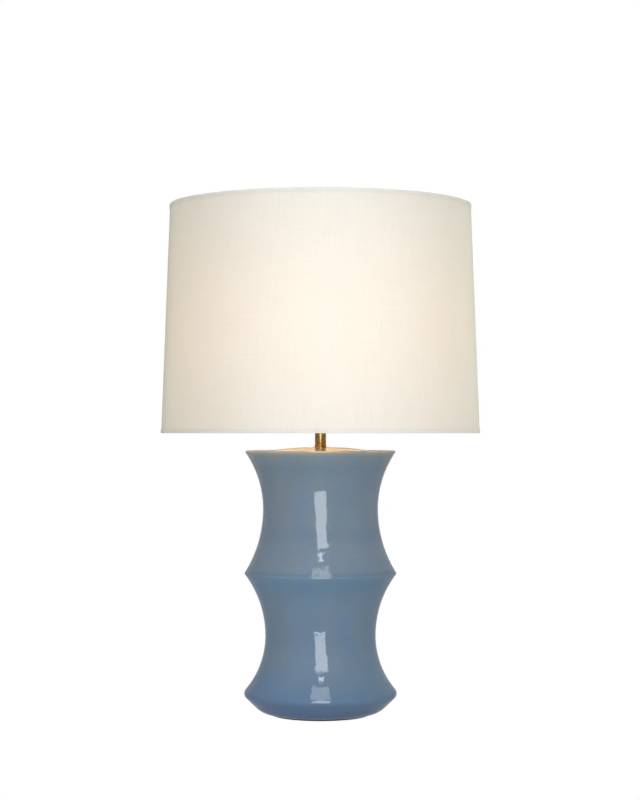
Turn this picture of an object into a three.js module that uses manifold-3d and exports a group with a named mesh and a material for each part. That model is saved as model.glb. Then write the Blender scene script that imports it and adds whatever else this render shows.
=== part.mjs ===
// A table lamp: a glazed ceramic body of two waisted sections, a short brass neck, a turn-knob
// lampholder with its bulb, a harp, and a tapered linen drum shade held by a finial.
// Millimetres, +Z up. The origin is on the table, under the lamp's axis; -Y is the front, where
// the switch knob points, and +Y is the back, where the mains cord enters.
import * as THREE from "three";
import { mergeVertices } from "three/addons/utils/BufferGeometryUtils.js";
import Module from "manifold-3d";

const wasm = await Module();
wasm.setup();

// ---------------------------------------------------------------- driving dimensions, in mm
const FIT = 0.3; // clearance between two pieces that fit together
const TOUCH = 0.1; // clearance under a piece that moves off its seat

// ceramic body, heights counted upwards from one another
const feltThickness = 2;
const footCornerRadius = 74.1; // where the foot's flat and the lower cone would meet
const toeRadius = 28;
const flareCornerRadius = 99.7; // where the cone and the lower curve would meet
const flareRise = 24.8;
const noseRadius = 7;
const lowerWaistRadius = 70.2;
const lowerWaistRise = 73.4;
const ridgeRadius = 97;
const ridgeRise = 79;
const upperWaistRadius = 73.2;
const upperWaistRise = 81.9;
const lipCornerRadius = 97.5;
const lipRise = 74.7;
const lipRounding = 2;
const wallThickness = 6.5;
const valleyDepth = 0.9; // of the shallow glaze valley inside the lip
const domeRadius = 66;
const domeHeight = 5.2;
const domeFlatRadius = 9; // level seat for the neck
const floorHeight = 32; // underside of the inner floor above the foot
const floorThickness = 6;
const footRingWidth = 8;

// cord entry, at the back of the lower cone
const bushBoreRadius = 3.3;
const bushBodyRadius = 5.4;
const bushLipRadius = 8;
const bushLipThickness = 1.6;
const bushHeight = 12; // bore axis above the foot

// threaded rod, its lower fixing, and the neck
const rodRadius = 5;
const rodBore = 3.4;
const rodTail = 9; // below the floor
const washerRadius = 16;
const washerThickness = 1.5;
const nutAcrossFlats = 17;
const nutThickness = 4.5;
const neckClearance = 0.8; // between the rod and the neck tube
const neckWall = 1.2;
const neckLength = 42.4;
const collarLip = 0.5; // beyond the neck tube
const collarHeight = 3.2;

// lampholder, heights above the saddle's strip
const saddleThickness = 1.6;
const saddleRim = 2; // around the rod
const earWidth = 5;
const earHeight = 20;
const capHubWall = 3.6; // around the rod
const capHubHeight = 7;
const capShoulder = 14; // height at which the cap reaches its full radius
const capHeight = 21;
const brassSheet = 0.8;
const shellTop = 63;
const shellFoot = 15.5;
const sleeveThickness = 0.6;
const coreFoot = 14.8;
const coreBossTop = 22;
const coreTop = 32;
const coreBossRadius = 10;
const contactRise = 3.2; // of the centre contact above the core
const screwShellSheet = 0.5;
const screwShellLength = 27;
const threadPitch = 3.6; // of the bulb cap and the screw shell
const threadDepth = 0.8;
const stemRadius = 2;
const stemHeight = 26;
const knobRadius = 6;
const knobLength = 12;
const knobFlutes = 10;
const terminalHeight = 18;
const terminalHeadRadius = 3;
const terminalHeadThickness = 1.9;
const leadRadius = 2.5;
const wireRadius = 1.1;

// bulb, heights above its own tip
const bulbTipHeight = 2.4;
const bulbInsulatorHeight = 3.6;
const bulbCapHeight = 23;
const bulbCapRadius = 12.85;
const bulbCapSheet = 0.5;
const bulbRadius = 30;
const bulbLength = 107;
const bulbGlass = 1;

// harp
const harpWire = 1.7; // radius
const harpHeight = 230; // from the saddle's strip to the middle of the top of the wire
const harpHalfWidth = 57;
const harpFootGap = 8; // from the saddle's strip to the end of the wire
const legSpacing = 27; // from the axis to the middle of each leg
const legStraight = 37;
const sleeveWall = 1;
const sleeveLength = 20;
const studRadius = 3;
const studLength = 16;
const studDrumRadius = 6;
const studDrumFloor = 1.8; // under the harp's wire
const studDrumRise = 6; // from the middle of the wire to the shade's seat

// shade and its spider
const shadeBottomRadius = 203.2;
const shadeTopRadius = 192.2;
const shadeHeight = 290.8;
const linenThickness = 0.8;
const linerThickness = 0.5;
const trimThickness = 0.4;
const trimWidth = 5;
const ringWire = 1.3; // radius
const spiderDrop = 25; // of the hub below the shade's top edge
const hubRadius = 17;
const hubThickness = 2;
const armWire = 1.6; // radius
const armCount = 3;
const armRise = 14; // how far inside the ring an arm turns upwards

// finial
const finialWasherRadius = 8.5;
const finialWasherThickness = 1.2;
const finialHeight = 35;
const finialBallRadius = 9.5;
const finialFootRadius = 7;

// fineness
const BODY_SEGMENTS = 36;
const SHADE_SEGMENTS = 36; // a corner at each arm of the spider
const SMALL_SEGMENTS = 16;

// ---------------------------------------------------------------- heights that follow
const footZ = feltThickness;
const flareZ = footZ + flareRise;
const lowerWaistZ = flareZ + lowerWaistRise;
const ridgeZ = lowerWaistZ + ridgeRise;
const upperWaistZ = ridgeZ + upperWaistRise;
const lipZ = upperWaistZ + lipRise;
const domeZ = lipZ - valleyDepth + domeHeight;
const floorZ = footZ + floorHeight;
const collarTop = domeZ + collarHeight;
const neckTop = collarTop + neckLength;
const holderZ = neckTop + saddleThickness; // the saddle's upper face
const harpTop = holderZ + harpHeight;
const hubZ = harpTop + studDrumRise;
const shadeTopZ = hubZ + spiderDrop;
const shadeBottomZ = shadeTopZ - shadeHeight;
const finialZ = hubZ + hubThickness + finialWasherThickness + 2 * TOUCH;
// The lampholder nests outwards from the bulb's cap, with a clearance at each layer.
const screwShellBore = bulbCapRadius + FIT;
const screwShellOuter = screwShellBore + threadDepth + screwShellSheet;
const sleeveInner = screwShellOuter + FIT;
const shellInner = sleeveInner + sleeveThickness + FIT;
const shellOuter = shellInner + brassSheet;
const capInner = shellOuter + FIT;
const capRadius = capInner + brassSheet;
const coreRadius = sleeveInner - FIT;
const bulbNeckRadius = bulbCapRadius - bulbCapSheet - 1.5 * FIT;
const neckBore = rodRadius + neckClearance;
const neckRadius = neckBore + neckWall;
const collarRadius = neckRadius + collarLip;
const capHubRadius = rodRadius + capHubWall;
const saddleWidth = 2 * (rodRadius + FIT + saddleRim);
const tipZ = holderZ + coreTop + contactRise + TOUCH;

// ---------------------------------------------------------------- helpers
const V2 = (x, y) => new THREE.Vector2(x, y);
const V3 = (x, y, z) => new THREE.Vector3(x, y, z);

// A solid of revolution about Z from [radius, height] points, listed anticlockwise.
function turned(points, segments = SMALL_SEGMENTS) {
  const onAxis = points[0][0] === 0 && points.at(-1)[0] === 0;
  const outline = points.map(([r, z]) => V2(r, z));
  if (!onAxis) outline.push(outline[0].clone());
  return new THREE.LatheGeometry(outline, segments).rotateX(Math.PI / 2);
}

const disc = (radius, z0, z1, segments) =>
  turned([[0, z0], [radius, z0], [radius, z1], [0, z1]], segments);

const ring = (outer, inner, z0, z1, segments) =>
  turned([[inner, z0], [outer, z0], [outer, z1], [inner, z1]], segments);

// Round bars through the axis at one height, along Y and along X.
const barAlongY = (radius, y0, y1, height, segments) =>
  disc(radius, Math.min(y0, y1), Math.max(y0, y1), segments)
    .rotateX(-Math.PI / 2)
    .translate(0, 0, height);

const barAlongX = (radius, x0, x1, height, segments) =>
  disc(radius, Math.min(x0, x1), Math.max(x0, x1), segments)
    .rotateY(Math.PI / 2)
    .translate(0, 0, height);

// A round section swept along a curve.
function wire(curve, radius, steps, sides = 8) {
  const section = new THREE.Shape();
  for (let i = 0; i < sides; i++) {
    const angle = (i / sides) * 2 * Math.PI;
    const [x, y] = [radius * Math.cos(angle), radius * Math.sin(angle)];
    if (i) section.lineTo(x, y);
    else section.moveTo(x, y);
  }
  return new THREE.ExtrudeGeometry(section, { steps, bevelEnabled: false, extrudePath: curve });
}

// Points of an arc that leaves a waist upright and ends at (endR, endZ), waist first.
function waistArc(waistR, waistZ, endR, endZ, steps = 5) {
  const [out, up] = [endR - waistR, endZ - waistZ];
  const radius = (out * out + up * up) / (2 * out);
  const sweep = Math.asin(Math.abs(up) / radius);
  return Array.from({ length: steps + 1 }, (_, i) => {
    const angle = (sweep * i) / steps;
    return [
      waistR + radius * (1 - Math.cos(angle)),
      waistZ + Math.sign(up) * radius * Math.sin(angle),
    ];
  });
}

// Points that round the corner b of the path a, b, c.
function rounded(a, b, c, radius, steps = 3) {
  const [A, B, C] = [a, b, c].map(([x, y]) => V2(x, y));
  const [toA, toC] = [A.sub(B).normalize(), C.sub(B).normalize()];
  const half = Math.acos(toA.dot(toC)) / 2;
  const middle = toA.clone().add(toC).normalize().multiplyScalar(radius / Math.sin(half)).add(B);
  const start = toA.multiplyScalar(radius / Math.tan(half)).add(B).sub(middle);
  const end = toC.multiplyScalar(radius / Math.tan(half)).add(B).sub(middle);
  let sweep = end.angle() - start.angle();
  if (sweep > Math.PI) sweep -= 2 * Math.PI;
  if (sweep < -Math.PI) sweep += 2 * Math.PI;
  return Array.from({ length: steps + 1 }, (_, i) => {
    const angle = start.angle() + (sweep * i) / steps;
    return [middle.x + radius * Math.cos(angle), middle.y + radius * Math.sin(angle)];
  });
}

function solidOf(geometry) {
  const bare = geometry.clone();
  bare.deleteAttribute("normal");
  bare.deleteAttribute("uv");
  const merged = mergeVertices(bare, 1e-4);
  return new wasm.Manifold(
    new wasm.Mesh({
      numProp: 3,
      vertProperties: new Float32Array(merged.attributes.position.array),
      triVerts: new Uint32Array(merged.index.array),
    }),
  );
}

function geometryOf(solid) {
  const mesh = solid.getMesh();
  const geometry = new THREE.BufferGeometry();
  geometry.setAttribute("position", new THREE.BufferAttribute(mesh.vertProperties, 3));
  geometry.setIndex(new THREE.BufferAttribute(mesh.triVerts, 1));
  return geometry;
}

const cut = (geometry, ...tools) =>
  geometryOf(tools.reduce((left, tool) => left.subtract(solidOf(tool)), solidOf(geometry)));

const join = (geometry, ...others) =>
  geometryOf(others.reduce((sum, other) => sum.add(solidOf(other)), solidOf(geometry)));

const common = (a, b) => geometryOf(solidOf(a).intersect(solidOf(b)));

// ---------------------------------------------------------------- materials
const finish = (color, roughness, metalness = 0) =>
  new THREE.MeshStandardMaterial({ color, roughness, metalness });
const glaze = finish(0x6c8298, 0.08);
const linen = finish(0xf4efe6, 0.9);
const styrene = finish(0xfbf8f2, 0.5);
const brass = finish(0xb98a4a, 0.28, 1);
const steel = finish(0x9a9a98, 0.4, 1);
const whiteEnamel = finish(0xe9e6df, 0.5);
const phenolic = finish(0x1b1a19, 0.45);
const fibre = finish(0xd9c7a2, 0.85);
const opalGlass = finish(0xfffaf0, 0.2);
const clearGlass = finish(0xdfe8ea, 0.05);
const aluminium = finish(0xc9cacc, 0.35, 1);
const felt = finish(0x2c2b2a, 0.95);
const rubber = finish(0x8d8778, 0.7);
const leadPlastic = finish(0xcdbf9c, 0.5);

const lamp = new THREE.Group();

function add(name, geometry, material) {
  const mesh = new THREE.Mesh(geometry, material);
  mesh.name = name;
  lamp.add(mesh);
  return mesh;
}

// ---------------------------------------------------------------- ceramic body
// The outside from the edge of the foot's flat up to the top of the lip.
function bodyOutside() {
  const lowerCurve = waistArc(lowerWaistRadius, lowerWaistZ, flareCornerRadius, flareZ, 8);
  const cone = [flareCornerRadius, flareZ];
  const foot = [footCornerRadius, footZ];
  const valley = [domeRadius, lipZ - valleyDepth];
  const upperCurve = waistArc(upperWaistRadius, upperWaistZ, lipCornerRadius, lipZ);
  return [
    ...rounded([0, footZ], foot, cone, toeRadius),
    ...rounded(foot, cone, lowerCurve.at(-2), noseRadius),
    ...lowerCurve.slice(0, -1).reverse(),
    ...waistArc(lowerWaistRadius, lowerWaistZ, ridgeRadius, ridgeZ).slice(1),
    ...waistArc(upperWaistRadius, upperWaistZ, ridgeRadius, ridgeZ).slice(0, -1).reverse(),
    ...upperCurve.slice(1, -1),
    ...rounded(upperCurve.at(-2), [lipCornerRadius, lipZ], valley, lipRounding),
  ];
}

// The low dome on top, from the valley inwards to the level seat.
function domeOutside(steps = 4) {
  const radius = (domeRadius ** 2 + domeHeight ** 2) / (2 * domeHeight);
  return Array.from({ length: steps + 1 }, (_, i) => {
    const r = domeRadius + ((domeFlatRadius - domeRadius) * i) / steps;
    const drop = radius - Math.sqrt(radius ** 2 - (i === steps ? 0 : r) ** 2);
    return [r, domeZ - drop];
  });
}

// The cavity, wall thickness inside the outside, from the floor up to the underside of the dome.
function bodyInside() {
  const slantWall = wallThickness * 1.5; // across the corners, where the wall runs at a slant
  const corner = flareCornerRadius - 2 * slantWall;
  const floorTop = floorZ + floorThickness;
  const lowerCurve = waistArc(
    lowerWaistRadius - wallThickness, lowerWaistZ, corner + wallThickness, flareZ, 4);
  const ceiling = lipZ - valleyDepth - wallThickness;
  const ridge = ridgeRadius - slantWall;
  const upperWaist = upperWaistRadius - wallThickness;
  return [
    [rodRadius + FIT, floorTop],
    ...lowerCurve.filter(([, z]) => z > floorTop).reverse().map(([r, z], i) => (i ? [r, z] : [r, floorTop])),
    ...waistArc(lowerWaistRadius - wallThickness, lowerWaistZ, ridge, ridgeZ, 4).slice(1),
    ...waistArc(upperWaist, upperWaistZ, ridge, ridgeZ, 4).slice(0, -1).reverse(),
    ...waistArc(upperWaist, upperWaistZ, lipCornerRadius - slantWall, ceiling, 4).slice(1),
    [domeFlatRadius, domeZ - wallThickness],
    [rodRadius + FIT, domeZ - wallThickness],
  ];
}

const outside = bodyOutside();
const footFlatRadius = outside[0][0];
const recessMouth = footFlatRadius - footRingWidth;
const coneSlope = (flareCornerRadius - footCornerRadius) / flareRise;
const recessTop = recessMouth + coneSlope * flareRise * 0.9;
const bore = rodRadius + FIT;

const shellOutline = [
  [recessMouth, footZ],
  ...outside,
  ...domeOutside(),
  [bore, domeZ],
  ...bodyInside().reverse(),
  [bore, floorZ],
  [recessTop, floorZ],
  [recessTop, footZ + flareRise * 0.9],
];

const bushZ = footZ + bushHeight;
const coneRadiusAt = (z) => flareCornerRadius - (flareZ - z) * coneSlope;
const recessRadiusAt = (z) => recessMouth + (z - footZ) * coneSlope;
const bushOuterY = coneRadiusAt(bushZ + bushLipRadius) + 4;
const bushInnerY = recessRadiusAt(bushZ - bushLipRadius) - 4;

add(
  "ceramic_body",
  cut(
    turned(shellOutline, BODY_SEGMENTS),
    barAlongY(bushBodyRadius + FIT, bushInnerY - 10, bushOuterY + 10, bushZ),
  ),
  glaze,
);
add("felt_pad", disc(footFlatRadius - 0.7, 0, feltThickness, BODY_SEGMENTS), felt);

// ---------------------------------------------------------------- cord bush
// Soft lips follow the cone outside and the recess inside; the body fills the hole between them.
function bushLip(from, to) {
  const band = (offset, z) => coneRadiusAt(z) + offset;
  const [low, high] = [footZ + 0.5, flareZ - 1];
  const layer = turned(
    [[band(from, low), low], [band(to, low), low], [band(to, high), high], [band(from, high), high]],
    BODY_SEGMENTS,
  );
  return common(layer, barAlongY(bushLipRadius, 20, bushOuterY + 20, bushZ));
}

const slant = Math.hypot(1, coneSlope);
const wallAcross = coneRadiusAt(footZ) - recessRadiusAt(footZ);
const bushBody = common(
  barAlongY(bushBodyRadius, 20, bushOuterY + 20, bushZ),
  turned(
    [
      [coneRadiusAt(footZ) - wallAcross - (FIT + bushLipThickness) * slant, footZ],
      [coneRadiusAt(footZ) + (FIT + bushLipThickness) * slant, footZ],
      [coneRadiusAt(flareZ) + (FIT + bushLipThickness) * slant, flareZ],
      [coneRadiusAt(flareZ) - wallAcross - (FIT + bushLipThickness) * slant, flareZ],
    ],
    BODY_SEGMENTS,
  ),
);
add(
  "cord_bush",
  cut(
    join(
      bushBody,
      bushLip(FIT * slant, (FIT + bushLipThickness) * slant),
      bushLip(-wallAcross - (FIT + bushLipThickness) * slant, -wallAcross - FIT * slant),
    ),
    barAlongY(bushBoreRadius, 10, bushOuterY + 30, bushZ, 16),
  ),
  rubber,
);

// ---------------------------------------------------------------- rod and lower fixing
const rodFoot = floorZ - rodTail;
const rodTop = holderZ + capHubHeight + 1;
add("threaded_rod", ring(rodRadius, rodBore, rodFoot, rodTop), steel);
add("base_washer", ring(washerRadius, bore, floorZ - washerThickness, floorZ, 32), steel);

const nutTopZ = floorZ - washerThickness;
const nutCorner = nutAcrossFlats / 2 / Math.cos(Math.PI / 6);
add(
  "base_nut",
  cut(disc(nutCorner, nutTopZ - nutThickness, nutTopZ, 6), disc(bore, nutTopZ - 10, nutTopZ + 1)),
  steel,
);

// ---------------------------------------------------------------- neck
add("neck_collar", ring(collarRadius, bore, domeZ, collarTop, 32), brass);
add("neck_tube", ring(neckRadius, neckBore, collarTop, neckTop, 32), brass);

// ---------------------------------------------------------------- saddle
// A U-shaped strip under the lampholder, with an upright ear for each leg of the harp.
function saddle() {
  const earInner = legSpacing + harpWire + FIT;
  const half = earInner + saddleThickness;
  const bend = 5;
  const top = earHeight;
  const under = -saddleThickness;
  const quarter = (cx, cz, radius, from, to) =>
    Array.from({ length: 5 }, (_, i) => {
      const angle = from + ((to - from) * i) / 4;
      return [cx + radius * Math.cos(angle), cz + radius * Math.sin(angle)];
    });
  const inner = bend - saddleThickness;
  const rightSide = [
    ...quarter(half - bend, under + bend, bend, -Math.PI / 2, 0),
    [half, top],
    [earInner, top],
    ...quarter(half - bend, under + bend, inner, 0, -Math.PI / 2),
  ];
  const leftSide = rightSide.map(([x, z]) => [-x, z]).reverse();
  const outline = new THREE.Shape([...rightSide, ...leftSide].map(([x, z]) => V2(x, z)));
  const strip = new THREE.ExtrudeGeometry(outline, { depth: saddleWidth, bevelEnabled: false })
    .rotateX(Math.PI / 2)
    .translate(0, saddleWidth / 2, holderZ);
  const trim = (side) =>
    new THREE.BoxGeometry(2 * half + 10, saddleWidth, top)
      .translate(0, side * (earWidth / 2 + saddleWidth / 2), holderZ + bend + top / 2);
  return cut(strip, trim(1), trim(-1), disc(bore, holderZ - 5, holderZ + 5));
}
add("harp_saddle", saddle(), steel);

// ---------------------------------------------------------------- lampholder
const z = (height) => holderZ + height;
const rimBead = 0.5;

add(
  "socket_cap",
  turned([
    [bore, z(0)],
    [capHubRadius, z(0)],
    [capHubRadius, z(capHubHeight - 1)],
    [capRadius, z(capShoulder)],
    [capRadius, z(capHeight - 2)],
    [capRadius + rimBead, z(capHeight - 1)],
    [capRadius, z(capHeight)],
    [capInner, z(capHeight)],
    [capInner, z(capShoulder + 0.4)],
    [capHubRadius - 1, z(capHubHeight)],
    [bore, z(capHubHeight)],
  ], 32),
  brass,
);

const stemBore = (radius, from) => barAlongY(radius, -capRadius - 4, from, z(stemHeight), 16);
add(
  "socket_shell",
  cut(
    turned([
      [shellInner, z(shellFoot)],
      [shellOuter, z(shellFoot)],
      [shellOuter, z(shellTop - 3)],
      [shellOuter + rimBead, z(shellTop - 1.5)],
      [shellOuter, z(shellTop)],
      [shellInner, z(shellTop)],
    ], 32),
    stemBore(stemRadius + 1.2, -10),
  ),
  brass,
);
add(
  "insulating_sleeve",
  cut(
    ring(sleeveInner + sleeveThickness, sleeveInner, z(coreBossTop), z(shellTop - 2), 32),
    stemBore(stemRadius + 1.2, -10),
  ),
  fibre,
);

const terminalHead = coreBossRadius + FIT;
const screwHole = (side) =>
  barAlongX(1.5 + FIT, side * 4, side * (coreBossRadius + 2), z(terminalHeight), 12);
add(
  "socket_core",
  cut(
    turned([
      [0, z(coreFoot)],
      [coreBossRadius, z(coreFoot)],
      [coreBossRadius, z(coreBossTop)],
      [coreRadius, z(coreBossTop)],
      [coreRadius, z(coreTop)],
      [0, z(coreTop)],
    ], 32),
    stemBore(stemRadius + TOUCH, -3),
    screwHole(1),
    screwHole(-1),
  ),
  phenolic,
);

// Rolled thread: a crest at radius, a root depth inside it, and a crest again, for each pitch.
function rolledThread(radius, depth, from, to) {
  const turns = Math.round((to - from) / threadPitch);
  return Array.from({ length: 2 * turns + 1 }, (_, i) => [
    radius - (i % 2) * depth,
    from + ((to - from) * i) / (2 * turns),
  ]);
}

const screwShellFoot = coreTop + 0.6;
const shellThread = rolledThread(screwShellBore + threadDepth, threadDepth,
  z(screwShellFoot + 2), z(screwShellFoot + screwShellLength - 1));
const thickened = (points, by) => points.map(([r, height]) => [r + by, height]);
add(
  "screw_shell",
  turned([
    [screwShellBore, z(screwShellFoot)],
    [screwShellOuter, z(screwShellFoot)],
    ...thickened(shellThread, screwShellSheet),
    [screwShellOuter, z(screwShellFoot + screwShellLength)],
    [screwShellOuter - screwShellSheet, z(screwShellFoot + screwShellLength)],
    ...shellThread.slice().reverse(),
    [screwShellBore, z(screwShellFoot + 1.4)],
  ], 20),
  aluminium,
);

// A springy tongue on the core's top, humped under the bulb's tip.
function centreContact() {
  const hump = new THREE.Shape(
    [
      [-7, 0], [3, 0], [5, contactRise - 1], [-1.5, contactRise],
      [-2, contactRise - 0.6], [3.6, contactRise - 1.5], [2.6, 0.6], [-7, 0.6],
    ].map(([x, height]) => V2(x, height)),
  );
  return new THREE.ExtrudeGeometry(hump, { depth: 5, bevelEnabled: false })
    .rotateX(Math.PI / 2)
    .translate(1, 2.5, z(coreTop));
}
add("centre_contact", centreContact(), brass);

for (const [name, side] of [["terminal_screw_live", 1], ["terminal_screw_neutral", -1]]) {
  const head = barAlongX(terminalHeadRadius, side * terminalHead,
    side * (terminalHead + terminalHeadThickness), z(terminalHeight), 16);
  const shank = barAlongX(1.5, side * 5, side * (terminalHead + 0.5), z(terminalHeight), 12);
  const slot = new THREE.BoxGeometry(1.2, 2 * terminalHeadRadius + 2, 0.9)
    .translate(side * (terminalHead + terminalHeadThickness), 0, z(terminalHeight));
  add(name, cut(join(shank, head), slot), side > 0 ? brass : steel);
}

// ---------------------------------------------------------------- wiring held inside the lamp
const leadTop = z(11);
const leadRoute = new THREE.CatmullRomCurve3(
  [
    V3(0, bushInnerY + 6, bushZ),
    V3(0, 45, bushZ),
    V3(0, 30, bushZ - 1.5),
    V3(0, 16, bushZ - 3.5),
    V3(0, 6.5, bushZ - 1.2),
    V3(0, 1.5, bushZ + 4),
    V3(0, 0, rodFoot),
    V3(0, 0, rodFoot + 12),
    V3(0, 0, rodFoot + 60),
    V3(0, 0, (rodFoot + leadTop) / 2),
    V3(0, 0, leadTop - 20),
    V3(0, 0, leadTop),
  ],
  false,
  "centripetal",
);
add("inner_lead", wire(leadRoute, leadRadius, 48, 8), leadPlastic);

for (const [name, side] of [["live_wire", 1], ["neutral_wire", -1]]) {
  const reach = side * (terminalHead + terminalHeadThickness / 2);
  const end = z(terminalHeight) - terminalHeadRadius - FIT;
  const route = new THREE.CatmullRomCurve3([
    V3(side * 1.5, 0, leadTop + wireRadius + FIT),
    V3(side * 6, 0, leadTop + wireRadius + FIT),
    V3(side * (coreBossRadius - 0.4), 0, leadTop + wireRadius + 0.6),
    V3(reach, 0, end - 1.4),
    V3(reach, 0, end),
  ]);
  add(name, wire(route, wireRadius, 14, 8), leadPlastic);
}

// ---------------------------------------------------------------- switch
const stemEnd = -(capRadius + 6.5);
add("switch_stem", barAlongY(stemRadius, stemEnd, -5, z(stemHeight), 16), brass);

function knob() {
  const outer = stemEnd - knobLength + 4;
  const outline = new THREE.Shape();
  const steps = knobFlutes * 4;
  for (let i = 0; i < steps; i++) {
    const angle = (i / steps) * 2 * Math.PI;
    const r = knobRadius - 0.35 * (1 - Math.cos(knobFlutes * angle));
    outline[i ? "lineTo" : "moveTo"](r * Math.cos(angle), r * Math.sin(angle));
  }
  const bar = new THREE.ExtrudeGeometry(outline, {
    depth: knobLength - 2, bevelThickness: 1, bevelSize: 0.8, bevelOffset: -0.8, bevelSegments: 1,
  });
  bar.rotateX(Math.PI / 2).translate(0, outer + knobLength - 1, z(stemHeight));
  return cut(bar, barAlongY(stemRadius + TOUCH, stemEnd - TOUCH, 0, z(stemHeight), 16));
}
add("switch_knob", knob(), phenolic);

// ---------------------------------------------------------------- bulb
const b = (height) => tipZ + height;
const capFoot = bulbTipHeight + bulbInsulatorHeight;
const capTop = capFoot + bulbCapHeight;
add(
  "bulb_tip",
  turned([
    [0, b(0)],
    [3, b(0)],
    [4.6, b(1.2)],
    [4.6, b(bulbTipHeight)],
    [0, b(bulbTipHeight)],
  ], 20),
  aluminium,
);
add(
  "bulb_insulator",
  turned([
    [0, b(bulbTipHeight)],
    [5.2, b(bulbTipHeight)],
    [10.6, b(capFoot)],
    [0, b(capFoot)],
  ], 24),
  phenolic,
);

const capThread = rolledThread(bulbCapRadius, threadDepth, b(capFoot + 2), b(capTop - 4.6));
add(
  "bulb_cap",
  turned([
    [10.6, b(capFoot)],
    [bulbCapRadius - threadDepth, b(capFoot + 1)],
    ...capThread,
    [bulbCapRadius, b(capTop)],
    [bulbCapRadius - bulbCapSheet, b(capTop)],
    ...thickened(capThread, -bulbCapSheet).reverse(),
    [bulbCapRadius - threadDepth - bulbCapSheet, b(capFoot + 1.4)],
    [10, b(capFoot + 0.6)],
    [10, b(capFoot)],
  ], 20),
  aluminium,
);

// The globe is an arc that meets the neck's flank; the glass is open at the neck, inside the cap.
function bulbOutline(inset, open) {
  const globeZ = bulbLength - bulbRadius;
  const globe = Array.from({ length: 9 }, (_, i) => {
    const angle = -0.62 + ((Math.PI / 2 + 0.62) * i) / 8;
    return [(bulbRadius - inset) * Math.cos(angle), b(globeZ) + (bulbRadius - inset) * Math.sin(angle)];
  });
  globe[8][0] = 0;
  const neckTopZ = capTop + 6;
  return [
    [bulbNeckRadius - inset, b(open)],
    [bulbNeckRadius - inset, b(capTop)],
    [bulbNeckRadius + 1.4 - inset, b(neckTopZ)],
    [bulbNeckRadius + 4.8 - inset, b(neckTopZ + 9)],
    ...globe,
  ];
}
add(
  "bulb_glass",
  turned([...bulbOutline(0, capTop - 4).reverse(), ...bulbOutline(bulbGlass, capTop - 4)].reverse(), 24),
  opalGlass,
);
add(
  "bulb_stem",
  turned([
    [0, b(capTop - 3)],
    [8, b(capTop - 3)],
    [4, b(capTop + 4)],
    [2.6, b(capTop + 22)],
    [3.2, b(capTop + 24)],
    [0, b(capTop + 25)],
  ], 16),
  clearGlass,
);
const filamentZ = bulbLength - bulbRadius;
add(
  "bulb_filament",
  join(
    barAlongX(0.9, -11, 11, b(filamentZ), 8),
    wire(new THREE.LineCurve3(V3(-10.6, 0, b(filamentZ)), V3(-1.2, 0, b(capTop + 25.4))), 0.5, 1, 6),
    wire(new THREE.LineCurve3(V3(10.6, 0, b(filamentZ)), V3(1.2, 0, b(capTop + 25.4))), 0.5, 1, 6),
  ),
  steel,
);

// ---------------------------------------------------------------- harp
function harpCurve() {
  const half = [
    [legSpacing, harpFootGap],
    [legSpacing, harpFootGap + legStraight * 0.35],
    [legSpacing, harpFootGap + legStraight * 0.7],
    [legSpacing + 0.6, harpFootGap + legStraight],
    [harpHalfWidth - 12, harpHeight * 0.34],
    [harpHalfWidth - 1.5, harpHeight * 0.505],
    [harpHalfWidth, harpHeight * 0.65],
    [harpHalfWidth - 6, harpHeight * 0.81],
    [harpHalfWidth - 24, harpHeight * 0.94],
    [18, harpHeight - 1.2],
    [8, harpHeight],
  ];
  const left = half.map(([x, height]) => V3(-x, 0, z(height)));
  const right = half.map(([x, height]) => V3(x, 0, z(height))).reverse();
  return new THREE.CatmullRomCurve3([...left, ...right], false, "centripetal");
}
add("harp_bow", wire(harpCurve(), harpWire, 60, 8), brass);

const drumFoot = harpTop - harpWire - studDrumFloor;
add(
  "harp_stud",
  cut(
    turned([
      [0, drumFoot],
      [studDrumRadius, drumFoot],
      [studDrumRadius, hubZ],
      [studRadius, hubZ],
      [studRadius, hubZ + studLength - 0.8],
      [studRadius - 0.8, hubZ + studLength],
      [0, hubZ + studLength],
    ]),
    barAlongX(harpWire + 2 * FIT, -20, 20, harpTop, 12),
  ),
  brass,
);

// Each sleeve closes round a leg of the harp and the saddle's ear beside it.
const sleeveSpan = 2 * harpWire + FIT + saddleThickness;
const sleeveBore = Math.hypot(sleeveSpan / 2, earWidth / 2) + FIT;
const sleeveFoot = z(harpFootGap - 1);
for (const [name, side] of [["harp_sleeve_left", -1], ["harp_sleeve_right", 1]]) {
  const middle = legSpacing - harpWire + sleeveSpan / 2;
  add(
    name,
    turned([
      [sleeveBore, sleeveFoot],
      [sleeveBore + sleeveWall, sleeveFoot],
      [sleeveBore + sleeveWall, sleeveFoot + sleeveLength - 2],
      [sleeveBore + sleeveWall * 0.4, sleeveFoot + sleeveLength],
      [sleeveBore, sleeveFoot + sleeveLength],
    ]).translate(side * middle, 0, 0),
    brass,
  );
}

// ---------------------------------------------------------------- shade
const shadeSlope = (shadeBottomRadius - shadeTopRadius) / shadeHeight;
const shadeRadiusAt = (height) => shadeBottomRadius - (height - shadeBottomZ) * shadeSlope;
const edge = trimThickness + 0.2; // the trim's thickness and its gap

function conical(outerInset, thickness, z0, z1) {
  const at = (inset, height) => [shadeRadiusAt(height) - inset, height];
  return turned([
    at(outerInset + thickness, z0),
    at(outerInset, z0),
    at(outerInset, z1),
    at(outerInset + thickness, z1),
  ], SHADE_SEGMENTS);
}
const linerInset = edge + linenThickness + 0.2;
const ringInset = linerInset + linerThickness + 0.2 + ringWire;
const trimInner = ringInset + ringWire + 0.2 + trimThickness;
add("shade_linen", conical(edge, linenThickness, shadeBottomZ + edge, shadeTopZ - edge), linen);
add("shade_liner", conical(linerInset, linerThickness, shadeBottomZ + edge, shadeTopZ - edge), styrene);

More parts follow.
